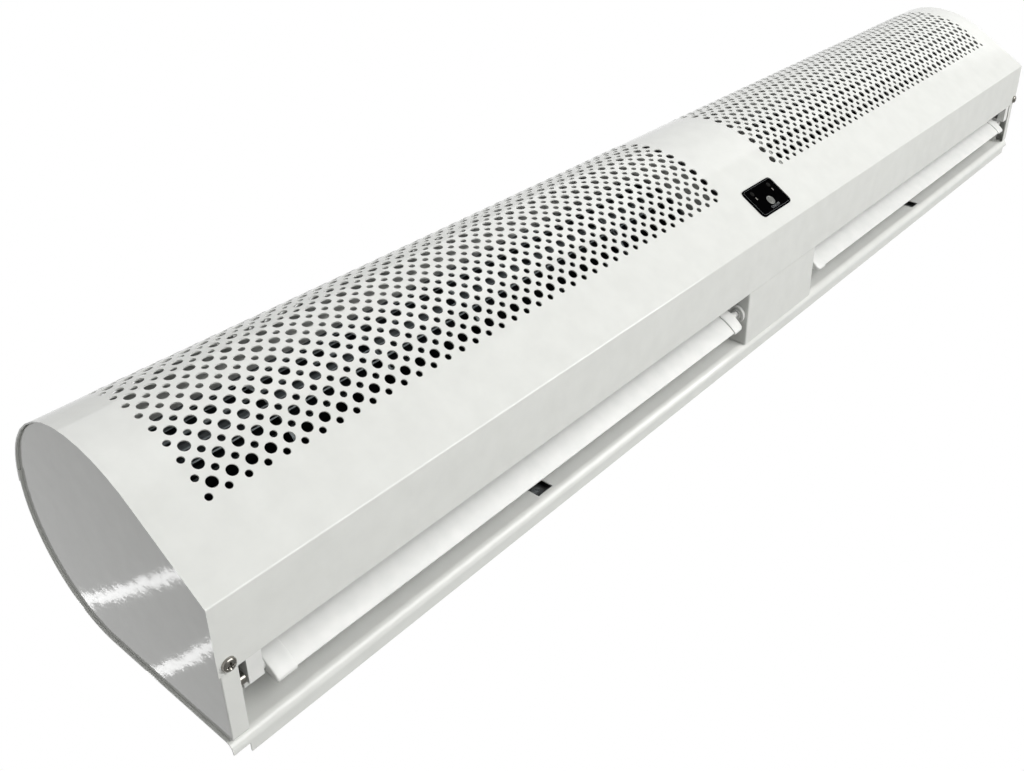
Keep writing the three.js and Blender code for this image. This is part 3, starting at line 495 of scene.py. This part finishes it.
def swept(name, section, x):
    """A closed section of depth and height in each ring, carried to the places in x, with a face
    over each end. The section runs clockwise when depth points right and height up."""
    rings, count = section.shape[:2]
    points = np.concatenate([np.repeat(x, count)[:, None], section.reshape(-1, 2)], 1)
    walls = np.roll(ring_walls(rings, count), -1, 1)
    ends = [np.arange(count)[None, ::-1], np.arange(count)[None] + (rings - 1) * count]
    faces = sum((f.tolist() for f in [walls, *ends]), [])
    return smooth_piece(name, to_world(points), faces, 40)


def vane_section(edge=vane_edge, half_chord=vane_half_chord):
    """Two parabolas of the camber, one edge width to either side, joined by half circles of that
    radius, then tilted about the pivot axis. Runs from the lower edge up the room side."""
    t = np.linspace(-1, 1, 13)
    reach = half_chord - edge
    middle = vane_camber * (1 - t * t)
    turn = np.linspace(0, np.pi, 7)[1:-1]
    section = np.concatenate([
        np.stack([t * reach, middle + edge], 1),
        np.stack([reach + edge * np.sin(turn), edge * np.cos(turn)], 1),
        np.stack([t[::-1] * reach, middle - edge], 1),
        np.stack([-reach - edge * np.sin(turn), -edge * np.cos(turn)], 1),
    ])
    return tilt(section)


def tilt(section):
    """Chordwise and outward distances from the pivot axis as depth and height."""
    lean = math.radians(vane_tilt)
    along, out = section[..., 0], section[..., 1]
    return np.stack([vane_depth + along * math.sin(lean) + out * math.cos(lean),
                     vane_height + along * math.cos(lean) - out * math.sin(lean)], -1)


def moulded_plastic():
    """White ABS, moulded: a satin plastic, slightly warmer than the coat, with the faint grain of
    the tool and a soft sheen."""
    finish, tree, place = new_finish("abs_moulded_white")
    grain = add_node(tree, "TexNoise", {"Vector": place, "Scale": 1400, "Detail": 3})
    cloud = add_node(tree, "TexNoise", {"Vector": place, "Scale": 90, "Detail": 2})
    tint = add_node(tree, "ValToRGB", {"Fac": cloud.outputs["Fac"]})
    tint.color_ramp.elements[0].position, tint.color_ramp.elements[0].color = 0.3, linear("#dedfdc")
    tint.color_ramp.elements[1].position, tint.color_ramp.elements[1].color = 0.7, linear("#e6e6e3")
    bump = add_node(tree, "Bump", {"Height": grain.outputs["Fac"], "Distance": 0.000012})
    shader = add_node(tree, "BsdfPrincipled", {
        "Base Color": tint.outputs["Color"], "Roughness": 0.34, "IOR": 1.5,
        "Normal": bump.outputs["Normal"]})
    add_node(tree, "OutputMaterial", {"Surface": shader.outputs["BSDF"]})
    return finish


white_plastic = moulded_plastic()
for side, hand in ((-1, "left"), (1, "right")):
    ends = np.sort(side * np.array([vane_inner - cap_grip, vane_outer + cap_grip]))
    section = vane_section()
    vane = swept(f"vane_{hand}_strip", np.stack([section, section]), ends)
    fit(vane, f"vane_{hand}", white_plastic, f"vane_{hand}_set")

cap_edge = 2.1  # half the thickness of a cap's shoe
cap_half_chord = 14.2
cap_boss = 3.2  # how far the shoe swells behind the pivot axis
pin_radius = 3


def cap_section(swell, low_cut=0.0, inset=0.0):
    """The vane's camber with a thicker edge, behind it a swelling exp(-(c + 3.5)^2 / 50) along the
    chord c; the lower edge may be cut back, and the whole drawn in by an inset."""
    t = np.linspace(-1, 1, 17)
    edge = cap_edge - inset
    reach = np.where(t < 0, cap_half_chord - cap_edge - low_cut, cap_half_chord - cap_edge)
    chord = t * reach
    middle = vane_camber * (1 - t * t)
    bulge = (cap_boss * swell - inset * 0.3) * np.exp(-(chord + 3.5) ** 2 / 50) * (1 - t ** 8)
    turn = np.linspace(0, np.pi, 9)[1:-1]
    return tilt(np.concatenate([
        np.stack([chord, middle + edge], 1),
        np.stack([reach[-1] + edge * np.sin(turn), edge * np.cos(turn)], 1),
        np.stack([chord[::-1], (middle - edge - bulge)[::-1]], 1),
        np.stack([-reach[0] - edge * np.sin(turn), -edge * np.cos(turn)], 1),
    ]))


def vane_cap(name, side, seam, end, pin_end, rounded):
    """Rings of the shoe's section from the seam to the end, each edge rounded over 0.6 mm, with the
    swelling growing towards the end, and a round pin on the pivot axis beyond it."""
    way = 1 if end > seam else -1
    reach = abs(end - seam)
    into = np.array([0, 0.25, 0.7, 2.5, 5, 8, 10.5,
                     reach - 2.4, reach - 1.2, reach - 0.5, reach - 0.15, reach])
    inset = np.array([0.35, 0.1, 0, 0, 0, 0, 0, 0, 0, 0.1, 0.35, 0.8])
    swell = np.clip((into - 2) / (reach - 4), 0, 1) ** 1.5
    past = np.maximum(into - reach + rounded, 0)
    round_off = rounded - np.sqrt(np.maximum(rounded ** 2 - past ** 2, 0))
    shoe = np.stack([cap_section(*ring)
                     for ring in zip(swell, np.minimum(round_off, 3.5), inset)])
    turn = np.linspace(0, 2 * np.pi, shoe.shape[1], endpoint=False)
    turn = turn[::-1] + np.radians(120)
    pin = np.stack([vane_depth + pin_radius * np.cos(turn),
                    vane_height + pin_radius * np.sin(turn)], 1)
    x = side * (seam + way * into)
    parts = [(shoe, x), (np.stack([pin, pin]), side * np.array([end - way, pin_end]))]
    meshes = []
    for number, (rings, places) in enumerate(parts):
        order = np.argsort(places)
        meshes.append(swept(f"{name}_{number}", rings[order], places[order]))
    return joined(name, meshes)


def joined(name, pieces):
    """Several shells as one piece, whose first one's object is kept."""
    with bpy.context.temp_override(active_object=pieces[0], selected_editable_objects=pieces):
        bpy.ops.object.join()
    pieces[0].name = pieces[0].data.name = name
    return pieces[0]


for side, hand in ((-1, "left"), (1, "right")):
    for which, *places in cap_ends:
        cap = vane_cap(f"vane_cap_{which}_{hand}_shoe", side, *places)
        fit(cap, f"vane_cap_{which}_{hand}", white_plastic, f"vane_{hand}_set")


def softened(node, name, width, finish):
    """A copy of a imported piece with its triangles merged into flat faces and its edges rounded."""
    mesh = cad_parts[node].data.copy()
    mesh.name = name
    shell = bmesh.new()
    shell.from_mesh(mesh)
    bmesh.ops.remove_doubles(shell, verts=shell.verts, dist=2e-6)
    bmesh.ops.dissolve_limit(shell, angle_limit=math.radians(1),
                             verts=shell.verts, edges=shell.edges)
    shell.to_mesh(mesh)
    shell.free()
    mesh.materials.clear()
    mesh.shade_smooth()
    mesh.set_sharp_from_angle(angle=math.radians(30))
    piece = placed(name, mesh)
    bevel = piece.modifiers.new("edges", "BEVEL")
    bevel.width, bevel.segments, bevel.limit_method = width / 1000, 2, "ANGLE"
    bevel.angle_limit, bevel.harden_normals = math.radians(40), True
    fit(piece, node, finish)
    return piece


block_rear, block_low = vane_depth - 6, 6  # the pivot block's rear and lower faces
corner = to_world([0, block_rear, block_low])
moved = to_world([0, block_rear + 1.9, block_low + 1.4])
for hand in ("left", "right"):
    block = softened(f"pivot_block_{hand}", f"pivot_block_{hand}_moulding", 0.5,
                     white_plastic)
    # its lower rear corner sits a little further forward and higher than in the CAD
    spots = np.empty(3 * len(block.data.vertices))
    block.data.vertices.foreach_get("co", spots)
    spots = spots.reshape(-1, 3)
    for axis in (1, 2):
        spots[np.abs(spots[:, axis] - corner[axis]) < 0.00005, axis] = moved[axis]
    block.data.vertices.foreach_set("co", spots.ravel())
    softened(f"pivot_disc_{hand}", f"pivot_disc_{hand}_moulding", 0.25,
             white_plastic)
dress(white_plastic, "terminal_block")

# ---------------------------------------------------------------------------------------------
# Impellers. Cross-flow drums of thin curved aluminium blades, pressed into slots in the end discs
# and in rings between them, each driven by the motor shaft at its inner end.

axis_depth, axis_height = rear_radius + 2, dome_height - 8
impeller_inner, impeller_outer = 64, 572
drum_radius, drum_hollow = 50, 38
blade_count, ring_count = 32, 5
blade_thickness, ring_thickness = 0.8, 2
hub_bore, ring_sides = 5.4, 64


def impeller(side):
    """Blades: arcs from the hollow's radius out to the drum's, of thin sheet, carried along x and
    repeated round the axis. Discs: flat rings between the two radii."""
    t = np.linspace(0, 1, 6)
    radius = drum_hollow + (drum_radius - 0.3 - drum_hollow) * t
    lag = np.radians(-9 * (1 - t) + 5 * np.sin(np.pi * t))
    line = np.stack([radius * np.cos(lag), radius * np.sin(lag)], 1)
    run = np.gradient(line, axis=0)
    run /= np.linalg.norm(run, axis=1, keepdims=True)
    beside = line + blade_thickness * np.stack([-run[:, 1], run[:, 0]], 1)
    outline = np.concatenate([line, beside[::-1]])
    turn = 2 * np.pi * np.arange(blade_count) / blade_count
    cos, sin = np.cos(turn)[:, None], np.sin(turn)[:, None]
    turned = np.stack([outline[:, 0] * cos - outline[:, 1] * sin,
                       outline[:, 0] * sin + outline[:, 1] * cos], 2)
    x = side * np.array([impeller_inner + 1, impeller_outer - 1])
    count = len(outline)
    points = np.stack([np.concatenate([np.full((blade_count, count, 1), a), turned], 2)
                       for a in x], 1)
    step = np.arange(count)
    wall = np.stack([step, (step + 1) % count, (step + 1) % count + count, step + count], 1)
    if side < 0:
        wall = wall[:, ::-1]
    walls = (wall + (2 * count * np.arange(blade_count))[:, None, None]).reshape(-1, 4)
    caps = np.stack([step, step[::-1] + count] if side > 0 else [step[::-1], step + count])
    caps = (caps + (2 * count * np.arange(blade_count))[:, None, None]).reshape(-1, count)
    return points.reshape(-1, 3), [walls, caps[:, ::-1]]


def drum_rings(side):
    """Rings of rectangular section (place, radius) turned round the axis."""
    places = np.linspace(impeller_inner, impeller_outer - ring_thickness, ring_count + 2)
    turn = 2 * np.pi * np.arange(ring_sides) / ring_sides
    square = ring_walls(ring_sides, 4, closed=True)
    points, faces = [], []
    for i, place in enumerate(places):
        hollow = hub_bore if i in (0, len(places) - 1) else drum_hollow
        beyond = place + ring_thickness
        section = np.array([[place, hollow], [place, drum_radius],
                            [beyond, drum_radius], [beyond, hollow]])
        ring = np.stack([np.broadcast_to(side * section[:, 0], (ring_sides, 4)),
                         section[:, 1] * np.cos(turn)[:, None],
                         section[:, 1] * np.sin(turn)[:, None]], 2).reshape(-1, 3)
        faces.append((square if side > 0 else square[:, ::-1]) + 4 * ring_sides * i)
        points.append(ring)
    return np.concatenate(points), np.concatenate(faces)


def rolled_aluminium():
    """Aluminium sheet, rolled and pressed: a metal with fine lines along the blades, its grey
    painted much darker than bare aluminium as shade on the drum inside the casing, seen through the
    holes."""
    finish, tree, place = new_finish("aluminium_rolled_painted_shade")
    stretch = add_node(tree, "Mapping", {"Vector": place, "Scale": (12, 900, 900)})
    lines = add_node(tree, "TexNoise", {
        "Vector": stretch.outputs["Vector"], "Scale": 1, "Detail": 3})
    gloss = add_node(tree, "MapRange", {"Value": lines.outputs["Fac"], 3: 0.24, 4: 0.38})
    # painted shade: both greys sit far below bare aluminium so the drum behind the holes stays dark;
    # the fine lines vary them a little
    tint = add_node(tree, "ValToRGB", {"Fac": lines.outputs["Fac"]})
    tint.color_ramp.elements[0].position, tint.color_ramp.elements[0].color = 0.3, linear("#5a5f60")
    tint.color_ramp.elements[1].position, tint.color_ramp.elements[1].color = 0.7, linear("#757a7b")
    bump = add_node(tree, "Bump", {"Height": lines.outputs["Fac"], "Distance": 0.00002})
    shader = add_node(tree, "BsdfPrincipled", {
        "Base Color": tint.outputs["Color"], "Metallic": 1, "Roughness": gloss.outputs["Result"],
        "Normal": bump.outputs["Normal"]})
    add_node(tree, "OutputMaterial", {"Surface": shader.outputs["BSDF"]})
    return finish


aluminium = rolled_aluminium()
for side, hand in ((-1, "left"), (1, "right")):
    blades, blade_faces = impeller(side)
    rings, ring_squares = drum_rings(side)
    points = np.concatenate([blades, rings]) + [0, axis_depth, axis_height]
    faces = sum((f.tolist() for f in [*blade_faces, ring_squares + len(blades)]), [])
    drum = smooth_piece(f"impeller_{hand}_drum", to_world(points), faces, 35)
    fit(drum, f"impeller_{hand}", aluminium, "rotor")
dress(aluminium, "motor_end_bell_")

# ---------------------------------------------------------------------------------------------
# Inner steel parts: wall plate, air guides, tongues, shafts, cradle and clamps. Zinc-coated mild
# steel, cut and folded, left bare.


def zinc_sheet():
    """Electro-galvanised steel: a grey metal, satin, in a blurred cloud of lighter and darker
    zinc about 15 mm across."""
    finish, tree, place = new_finish("steel_zinc_coated")
    cloud = add_node(tree, "TexNoise", {"Vector": place, "Scale": 65, "Detail": 5})
    tint = add_node(tree, "ValToRGB", {"Fac": cloud.outputs["Fac"]})
    tint.color_ramp.elements[0].position, tint.color_ramp.elements[0].color = 0.3, linear("#8f9497")
    tint.color_ramp.elements[1].position, tint.color_ramp.elements[1].color = 0.7, linear("#b1b5b7")
    gloss = add_node(tree, "MapRange", {"Value": cloud.outputs["Fac"], 3: 0.3, 4: 0.5})
    bump = add_node(tree, "Bump", {"Height": cloud.outputs["Fac"], "Distance": 0.00003})
    shader = add_node(tree, "BsdfPrincipled", {
        "Base Color": tint.outputs["Color"], "Metallic": 0.9, "Roughness": gloss.outputs["Result"],
        "Normal": bump.outputs["Normal"]})
    add_node(tree, "OutputMaterial", {"Surface": shader.outputs["BSDF"]})
    return finish


zinc = zinc_sheet()
dress(zinc, "rear_guide_", "air_tongue_", "stub_shaft_", "motor_shaft")
for name, width in (("wall_plate", 0.3), ("motor_cradle", 0.4), ("motor_clamp_left", 0.4),
                    ("motor_clamp_right", 0.4)):
    softened(name, f"{name}_pressing", width, zinc)

# ---------------------------------------------------------------------------------------------
# Bright small parts: cover screws, bearings and spring clips, in steel plated with nickel. The
# push button in the panel has the same plate with a duller face.


def nickel_plate(name, low, high, smooth, worn):
    """Nickel plate on steel: a bright, slightly warm metal with fine wear scratches."""
    finish, tree, place = new_finish(name)
    wear = add_node(tree, "TexNoise", {"Vector": place, "Scale": 900, "Detail": 4})
    gloss = add_node(tree, "MapRange", {"Value": wear.outputs["Fac"], 3: smooth, 4: worn})
    bump = add_node(tree, "Bump", {"Height": wear.outputs["Fac"], "Distance": 0.00001})
    tint = add_node(tree, "ValToRGB", {"Fac": wear.outputs["Fac"]})
    tint.color_ramp.elements[0].position, tint.color_ramp.elements[0].color = 0.3, linear(low)
    tint.color_ramp.elements[1].position, tint.color_ramp.elements[1].color = 0.7, linear(high)
    shader = add_node(tree, "BsdfPrincipled", {
        "Base Color": tint.outputs["Color"], "Metallic": 1, "Roughness": gloss.outputs["Result"],
        "Normal": bump.outputs["Normal"]})
    add_node(tree, "OutputMaterial", {"Surface": shader.outputs["BSDF"]})
    return finish


nickel = nickel_plate("nickel_plated", "#8d8a84", "#a5a29b", 0.1, 0.24)
screw_place, screw_depth = half - 6.8, 58
head_radius, head_height = 4.45, 2.6


def pan_head(name, across, up, centre, radius, height, shank, shank_reach):
    """A pan head: the height falls as h (1 - (r / R)^4)^0.5 from the middle, less a cross recess
    0.5 h deep with soft walls, and the rim turns in to the flat back and on to the shank."""
    count = 48
    turn = 2 * np.pi * np.arange(count) / count
    radii = radius * np.sqrt(np.linspace(0.0004, 1, 22))
    a, b = radii[:, None] * np.cos(turn), radii[:, None] * np.sin(turn)
    dome = height * (0.25 + 0.75 * np.sqrt(np.maximum(1 - (radii / radius) ** 4, 0)))[:, None]
    arm = np.minimum(np.maximum(np.abs(a) / 0.5, np.abs(b) / (0.5 * radius)),
                     np.maximum(np.abs(b) / 0.5, np.abs(a) / (0.5 * radius)))
    dome = dome - 0.5 * height * np.clip((1.3 - arm) / 0.5, 0, 1)
    rings = [np.stack([a, b, dome], 2)]
    for r, h in ((radius, 0), (shank, 0), (shank, -shank_reach)):
        rings.append(np.stack([r * np.cos(turn), r * np.sin(turn),
                               np.full(count, float(h))], 1)[None])
    rings = np.concatenate(rings)
    out = np.cross(across, up)
    points = centre + rings[..., :1] * across + rings[..., 1:2] * up + rings[..., 2:] * out
    walls = ring_walls(len(rings), count)[:, [0, 3, 2, 1]]
    last = np.arange(count) + (len(rings) - 1) * count
    faces = [*walls.tolist(), list(range(count)), last[::-1].tolist()]
    return smooth_piece(name, points / 1000, faces, 50)


for side, hand in ((-1, "left"), (1, "right")):
    centre = to_world([side * screw_place, screw_depth, -0.05]) * 1000
    screw = pan_head(f"cover_screw_{hand}_pan_head", np.array([1.0, 0, 0]), np.array([0, -1.0, 0]),
                     centre, head_radius, head_height, 2, 9)
    fit(screw, f"cover_screw_{hand}", nickel)
    softened(f"spring_clip_{hand}", f"spring_clip_{hand}_strip", 0.15, nickel)
dress(nickel, "ball_bearing_")

# ---------------------------------------------------------------------------------------------
# Rubber: the bushes round the bearings, the rings round the motor's bosses and the cable grommet,
# moulded in black.


def plain_plastic(name, low, high, roughness, scale, depth):
    """A moulded surface: two close colours in a cloud, and a grain of the given scale per metre
    and depth in metres."""
    finish, tree, place = new_finish(name)
    cloud = add_node(tree, "TexNoise", {"Vector": place, "Scale": scale, "Detail": 3})
    tint = add_node(tree, "ValToRGB", {"Fac": cloud.outputs["Fac"]})
    tint.color_ramp.elements[0].position, tint.color_ramp.elements[0].color = 0.3, linear(low)
    tint.color_ramp.elements[1].position, tint.color_ramp.elements[1].color = 0.7, linear(high)
    bump = add_node(tree, "Bump", {"Height": cloud.outputs["Fac"], "Distance": depth})
    shader = add_node(tree, "BsdfPrincipled", {
        "Base Color": tint.outputs["Color"], "Roughness": roughness, "IOR": 1.5,
        "Normal": bump.outputs["Normal"]})
    add_node(tree, "OutputMaterial", {"Surface": shader.outputs["BSDF"]})
    return finish


rubber = plain_plastic("rubber_black", "#191919", "#232323", 0.8, 800, 0.00004)
dress(rubber, "bearing_bush_", "motor_ring_", "cable_grommet")

# ---------------------------------------------------------------------------------------------
# Control panel. A glossy black moulded fascia with a printed border, two clear lights, two smoked
# windows and a plated button, on a dark housing with the board behind it. The fascia is drawn
# without a hole for the button, so a pressed button sinks out of sight in it.

gloss_black = plain_plastic("abs_gloss_black", "#030303", "#050506", 0.1, 300, 0.000002)
gloss_black.node_tree.nodes["Principled BSDF"].inputs["Specular IOR Level"].default_value = 0
dark_plastic = plain_plastic("nylon_dark_grey", "#232528", "#2a2c30", 0.5, 900, 0.00002)
dress(dark_plastic, "control_housing", "switch_body", "run_capacitor")
board_green = plain_plastic("board_lacquer_green", "#1a5030", "#22643b", 0.35, 500, 0.00001)
enamel = plain_plastic("enamel_grey", "#4e5255", "#5b6063", 0.4, 700, 0.00002)
dress(board_green, "circuit_board")
dress(enamel, "motor_stator")

fascia_at = 29.3  # the panel's middle, up the flare from the crease
light_across, light_up, window_up, button_drop = 14, 3, 8.6, 4.6  # from the panel's middle
panel_centre, panel_normal = bent_line(cover_start, cover_heading, cover_moves,
                                       np.array([crease_at + fascia_at]))
panel_centre = to_world([0, *panel_centre[0]]) * 1000
panel_out = np.array([0, -panel_normal[0, 0], panel_normal[0, 1]])
panel_up = np.cross(panel_out, [1, 0, 0])
fascia_width, fascia_height, fascia_corner, fascia_top = 48.4, 30.6, 4.4, 1.4


def on_panel(points):
    """x along the panel, y up its slope and z out of it, in mm from its middle, to metres."""
    points = np.asarray(points, float)
    return (panel_centre + points[..., :1] * [1, 0, 0] + points[..., 1:2] * panel_up
            + points[..., 2:] * panel_out) / 1000


def panel_piece(name, points, faces, finish, slot, body="casing"):
    """A piece given in the panel's own frame."""
    piece = smooth_piece(name, on_panel(points), faces, 40)
    piece.data.materials.append(finish)
    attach(piece, body)
    return piece


def rounded_ring(inset):
    """The fascia's outline drawn in: quarter circles round four corner centres."""
    corner = fascia_corner - inset
    turn = np.radians(np.linspace(0, 90, 7))
    corners = []
    for k, (a, b) in enumerate(((1, 1), (-1, 1), (-1, -1), (1, -1))):
        angle = turn + k * np.pi / 2
        corners.append(np.stack([
            a * (fascia_width / 2 - fascia_corner) + corner * np.cos(angle),
            b * (fascia_height / 2 - fascia_corner) + corner * np.sin(angle)], 1))
    return np.concatenate(corners)


def capped(rings, count):
    """The squares between rings of count points, and a face over each end."""
    return [*ring_walls(rings, count).tolist(), list(range(count))[::-1],
            list(range((rings - 1) * count, rings * count))]


def loops(steps, closed):
    """The outline stacked up in (inset, height) steps and joined by squares; closed: the last
    loop joins the first, else both ends are filled."""
    outlines = [rounded_ring(inset) for inset, _ in steps]
    count = len(outlines[0])
    rings = [np.column_stack([outline, np.full(count, float(z))])
             for outline, (_, z) in zip(outlines, steps)]
    if closed:
        return np.concatenate(rings), ring_walls(len(steps), count, closed=True).tolist()
    return np.concatenate(rings), capped(len(steps), count)


fascia = panel_piece("control_fascia_moulding", *loops(
    [(0, -0.3), (0, 0.8), (0.12, 1.12), (0.38, 1.32), (0.75, fascia_top)], False),
    gloss_black, "black_gloss")
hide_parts("control_fascia")

print_grey = plain_plastic("screen_print_grey", "#6a6d6e", "#777a7b", 0.4, 600, 0.000004)
panel_piece("fascia_border", *loops([
    (1.5, fascia_top - 0.1), (1.5, fascia_top + 0.05), (1.68, fascia_top + 0.05),
    (1.68, fascia_top - 0.1)], True), print_grey, "black_gloss")
smoked = plain_plastic("acrylic_smoked", "#0b0b0a", "#10100e", 0.35, 500, 0.000002)
smoked.node_tree.nodes["Principled BSDF"].inputs["Specular IOR Level"].default_value = 0.06
lens = plain_plastic("light_lens_clear", "#83837b", "#90908a", 0.3, 700, 0.000004)
for side, hand in ((-1, "left"), (1, "right")):
    x, y = np.array([-0.55, 0.55, 0.55, -0.55]), np.array([-1.3, -1.3, 1.3, 1.3])
    corners = np.concatenate([
        np.column_stack([x * k + side * light_across, y * k + light_up, np.full(4, z)])
        for k, z in ((1, 0.9), (1, 1.46), (0.8, 1.52))])
    light = panel_piece(f"light_{hand}_lens", corners, capped(3, 4), lens, "white_plastic")
    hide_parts(f"light_{hand}")
    turn = 2 * np.pi * np.arange(24) / 24
    disc = np.concatenate([
        np.column_stack([side * light_across + radius * np.cos(turn),
                         window_up + radius * np.sin(turn), np.full(24, z)])
        for radius, z in ((2.3, 1.2), (2.3, 1.44), (2.1, 1.47))])
    window = panel_piece(f"receiver_{hand}_window", disc, capped(3, 24), smoked, "dark_plastic")
    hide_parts(f"receiver_{hand}")

letters = bpy.data.curves.new("letters", "FONT")
letters.body, letters.extrude = "ON/OFF", 0.01
writing = bpy.data.objects.new("letters", letters)
shape = bpy.data.meshes.new_from_object(writing)
bpy.data.objects.remove(writing)
spots = np.array([corner.co for corner in shape.vertices])
spots -= (spots.max(0) + spots.min(0)) / 2
spots *= np.array([13.5, 2.6, 0.06]) / (spots.max(0) - spots.min(0))
panel_piece("button_lettering", spots + [0.3, -10.9, fascia_top + 0.02],
            [list(face.vertices) for face in shape.polygons], print_grey, "black_gloss")


def push_button():
    """A turned cap: rings of radius and height from the flange up its side, over a 0.35 mm rounded
    edge to a face that sinks 0.12 mm towards the middle, with two small dimples."""
    profile = np.array([
        (5.1, -1.1), (5.1, -0.3), (4.5, -0.3), (4.5, 1.55), (4.42, 1.75), (4.2, 1.88),
        (3.9, 1.92), (3.6, 1.91), (3.4, 1.9), (3.2, 1.88), (3, 1.86), (2.8, 1.85),
        (2.6, 1.84), (2.4, 1.83), (1.6, 1.8), (0.8, 1.78), (0.05, 1.78)])
    count = 96
    turn = 2 * np.pi * np.arange(count) / count
    x, y = profile[:, :1] * np.cos(turn), profile[:, :1] * np.sin(turn)
    dimple = sum(np.exp(-(x ** 2 + (y - a) ** 2) / 0.25) for a in (-2.9, 2.9))
    z = profile[:, 1:] - 1.2 * dimple * (profile[:, 1:] > 1.7)
    points = np.stack([x, y - button_drop, z + 0 * x], 2).reshape(-1, 3)
    return points, capped(len(profile), count)


satin = nickel_plate("nickel_satin", "#787975", "#8a8b87", 0.28, 0.4)
button = panel_piece("push_button_cap", *push_button(), satin, "nickel", "button")
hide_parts("push_button")

# ---------------------------------------------------------------------------------------------
# Floor, light and camera. A pale floor well below, a white room, two soft lamps in front of the
# casing and below it, and two narrow strips that draw streaks on the left end plate.

floor_drop, floor_reach = 2.4, 20  # metres: the height it hangs at, and half the floor's width
mesh = bpy.data.meshes.new("floor")
mesh.from_pydata([(x * floor_reach, y * floor_reach, -floor_drop)
                  for x, y in ((-1, -1), (1, -1), (1, 1), (-1, 1))], [], [(0, 1, 2, 3)])
floor = placed("floor", mesh)
finish, tree, place = new_finish("floor_plaster_white")
dust = add_node(tree, "TexNoise", {"Vector": place, "Scale": 6, "Detail": 4})
tint = add_node(tree, "ValToRGB", {"Fac": dust.outputs["Fac"]})
tint.color_ramp.elements[0].position, tint.color_ramp.elements[0].color = 0.3, linear("#eeeeec")
tint.color_ramp.elements[1].position, tint.color_ramp.elements[1].color = 0.7, linear("#f4f4f2")
path = add_node(tree, "LightPath")
glow = add_node(tree, "MapRange", {"Value": path.outputs["Is Camera Ray"], 3: 0, 4: 0.6})
shader = add_node(tree, "BsdfPrincipled", {
    "Base Color": tint.outputs["Color"], "Roughness": 0.8, "Emission Color": (1, 1, 1, 1),
    "Emission Strength": glow.outputs["Result"]})
add_node(tree, "OutputMaterial", {"Surface": shader.outputs["BSDF"]})
mesh.materials.append(finish)

world = bpy.data.worlds.new("room")
world.use_nodes = True
tree = world.node_tree
tree.nodes.clear()
path = add_node(tree, "LightPath")
seen = add_node(tree, "Math", {0: path.outputs["Is Camera Ray"], 1: path.outputs["Is Glossy Ray"]},
                operation="MAXIMUM")
seen = add_node(tree, "Math", {0: seen.outputs[0], 1: path.outputs["Is Transmission Ray"]},
                operation="MAXIMUM")
level = add_node(tree, "MapRange", {"Value": seen.outputs[0], 3: 0.27, 4: 1.0})
sky = add_node(tree, "Background", {"Color": (1, 1, 1, 1), "Strength": level.outputs["Result"]})
add_node(tree, "OutputWorld", {"Surface": sky.outputs["Background"]})
bpy.context.scene.world = world


def soft_lamp(name, place, aim, width, height, power, along=(1, 0, 0)):
    """A rectangular lamp at a place in metres, its width along a direction, turned to the aim."""
    lamp = bpy.data.lights.new(name, "AREA")
    lamp.shape, lamp.size, lamp.size_y, lamp.energy = "RECTANGLE", width, height, power
    holder = placed(name, lamp)
    away = np.array(place, float) - aim
    away /= np.linalg.norm(away)
    across = along - away * (away @ along)
    across /= np.linalg.norm(across)
    turned = np.eye(4)
    turned[:3, :3] = np.stack([across, np.cross(away, across), away], 1)
    turned[:3, 3] = place
    holder.matrix_world = Matrix(turned.tolist())


soft_lamp("lamp_below", (0.6, -1.3, -2.2), (0, -0.1, 0), 3.6, 3, 140)
soft_lamp("lamp_front", (0.9, -2.2, 1.3), (0, -0.1, 0), 3, 3, 20)
soft_lamp("strip_near", (-1.442, 1.747, 2.0), (-0.6, -0.07, 0), 1.3, 0.035, 0.38,
          np.array([-0.944, 0.328, 0]))
soft_lamp("strip_far", (-1.536, 2.12, 2.0), (-0.6, -0.07, 0), 1.3, 0.035, 0.38,
          np.array([-0.964, 0.266, 0]))

camera = bpy.data.cameras.new("camera")
camera.lens, camera.sensor_width = 38.035, 36
camera.shift_x, camera.shift_y = -0.03359, -0.10780
camera.clip_start = 0.01
viewer = placed("camera", camera)
right = np.array([0.63856, 0.00378, -0.76956])
down = np.array([-0.35857, 0.88627, -0.29318])
forward = np.array([0.68093, 0.46316, 0.56729])
pose = np.eye(4)
pose[:3, :3] = np.stack([right, -down, -forward], 1)
pose[:3, 3] = (-0.79855, -0.51072, -0.44174)
viewer.matrix_world = Matrix(pose.tolist())
bpy.context.scene.camera = viewer

scene = bpy.context.scene
scene.view_settings.view_transform = "Standard"
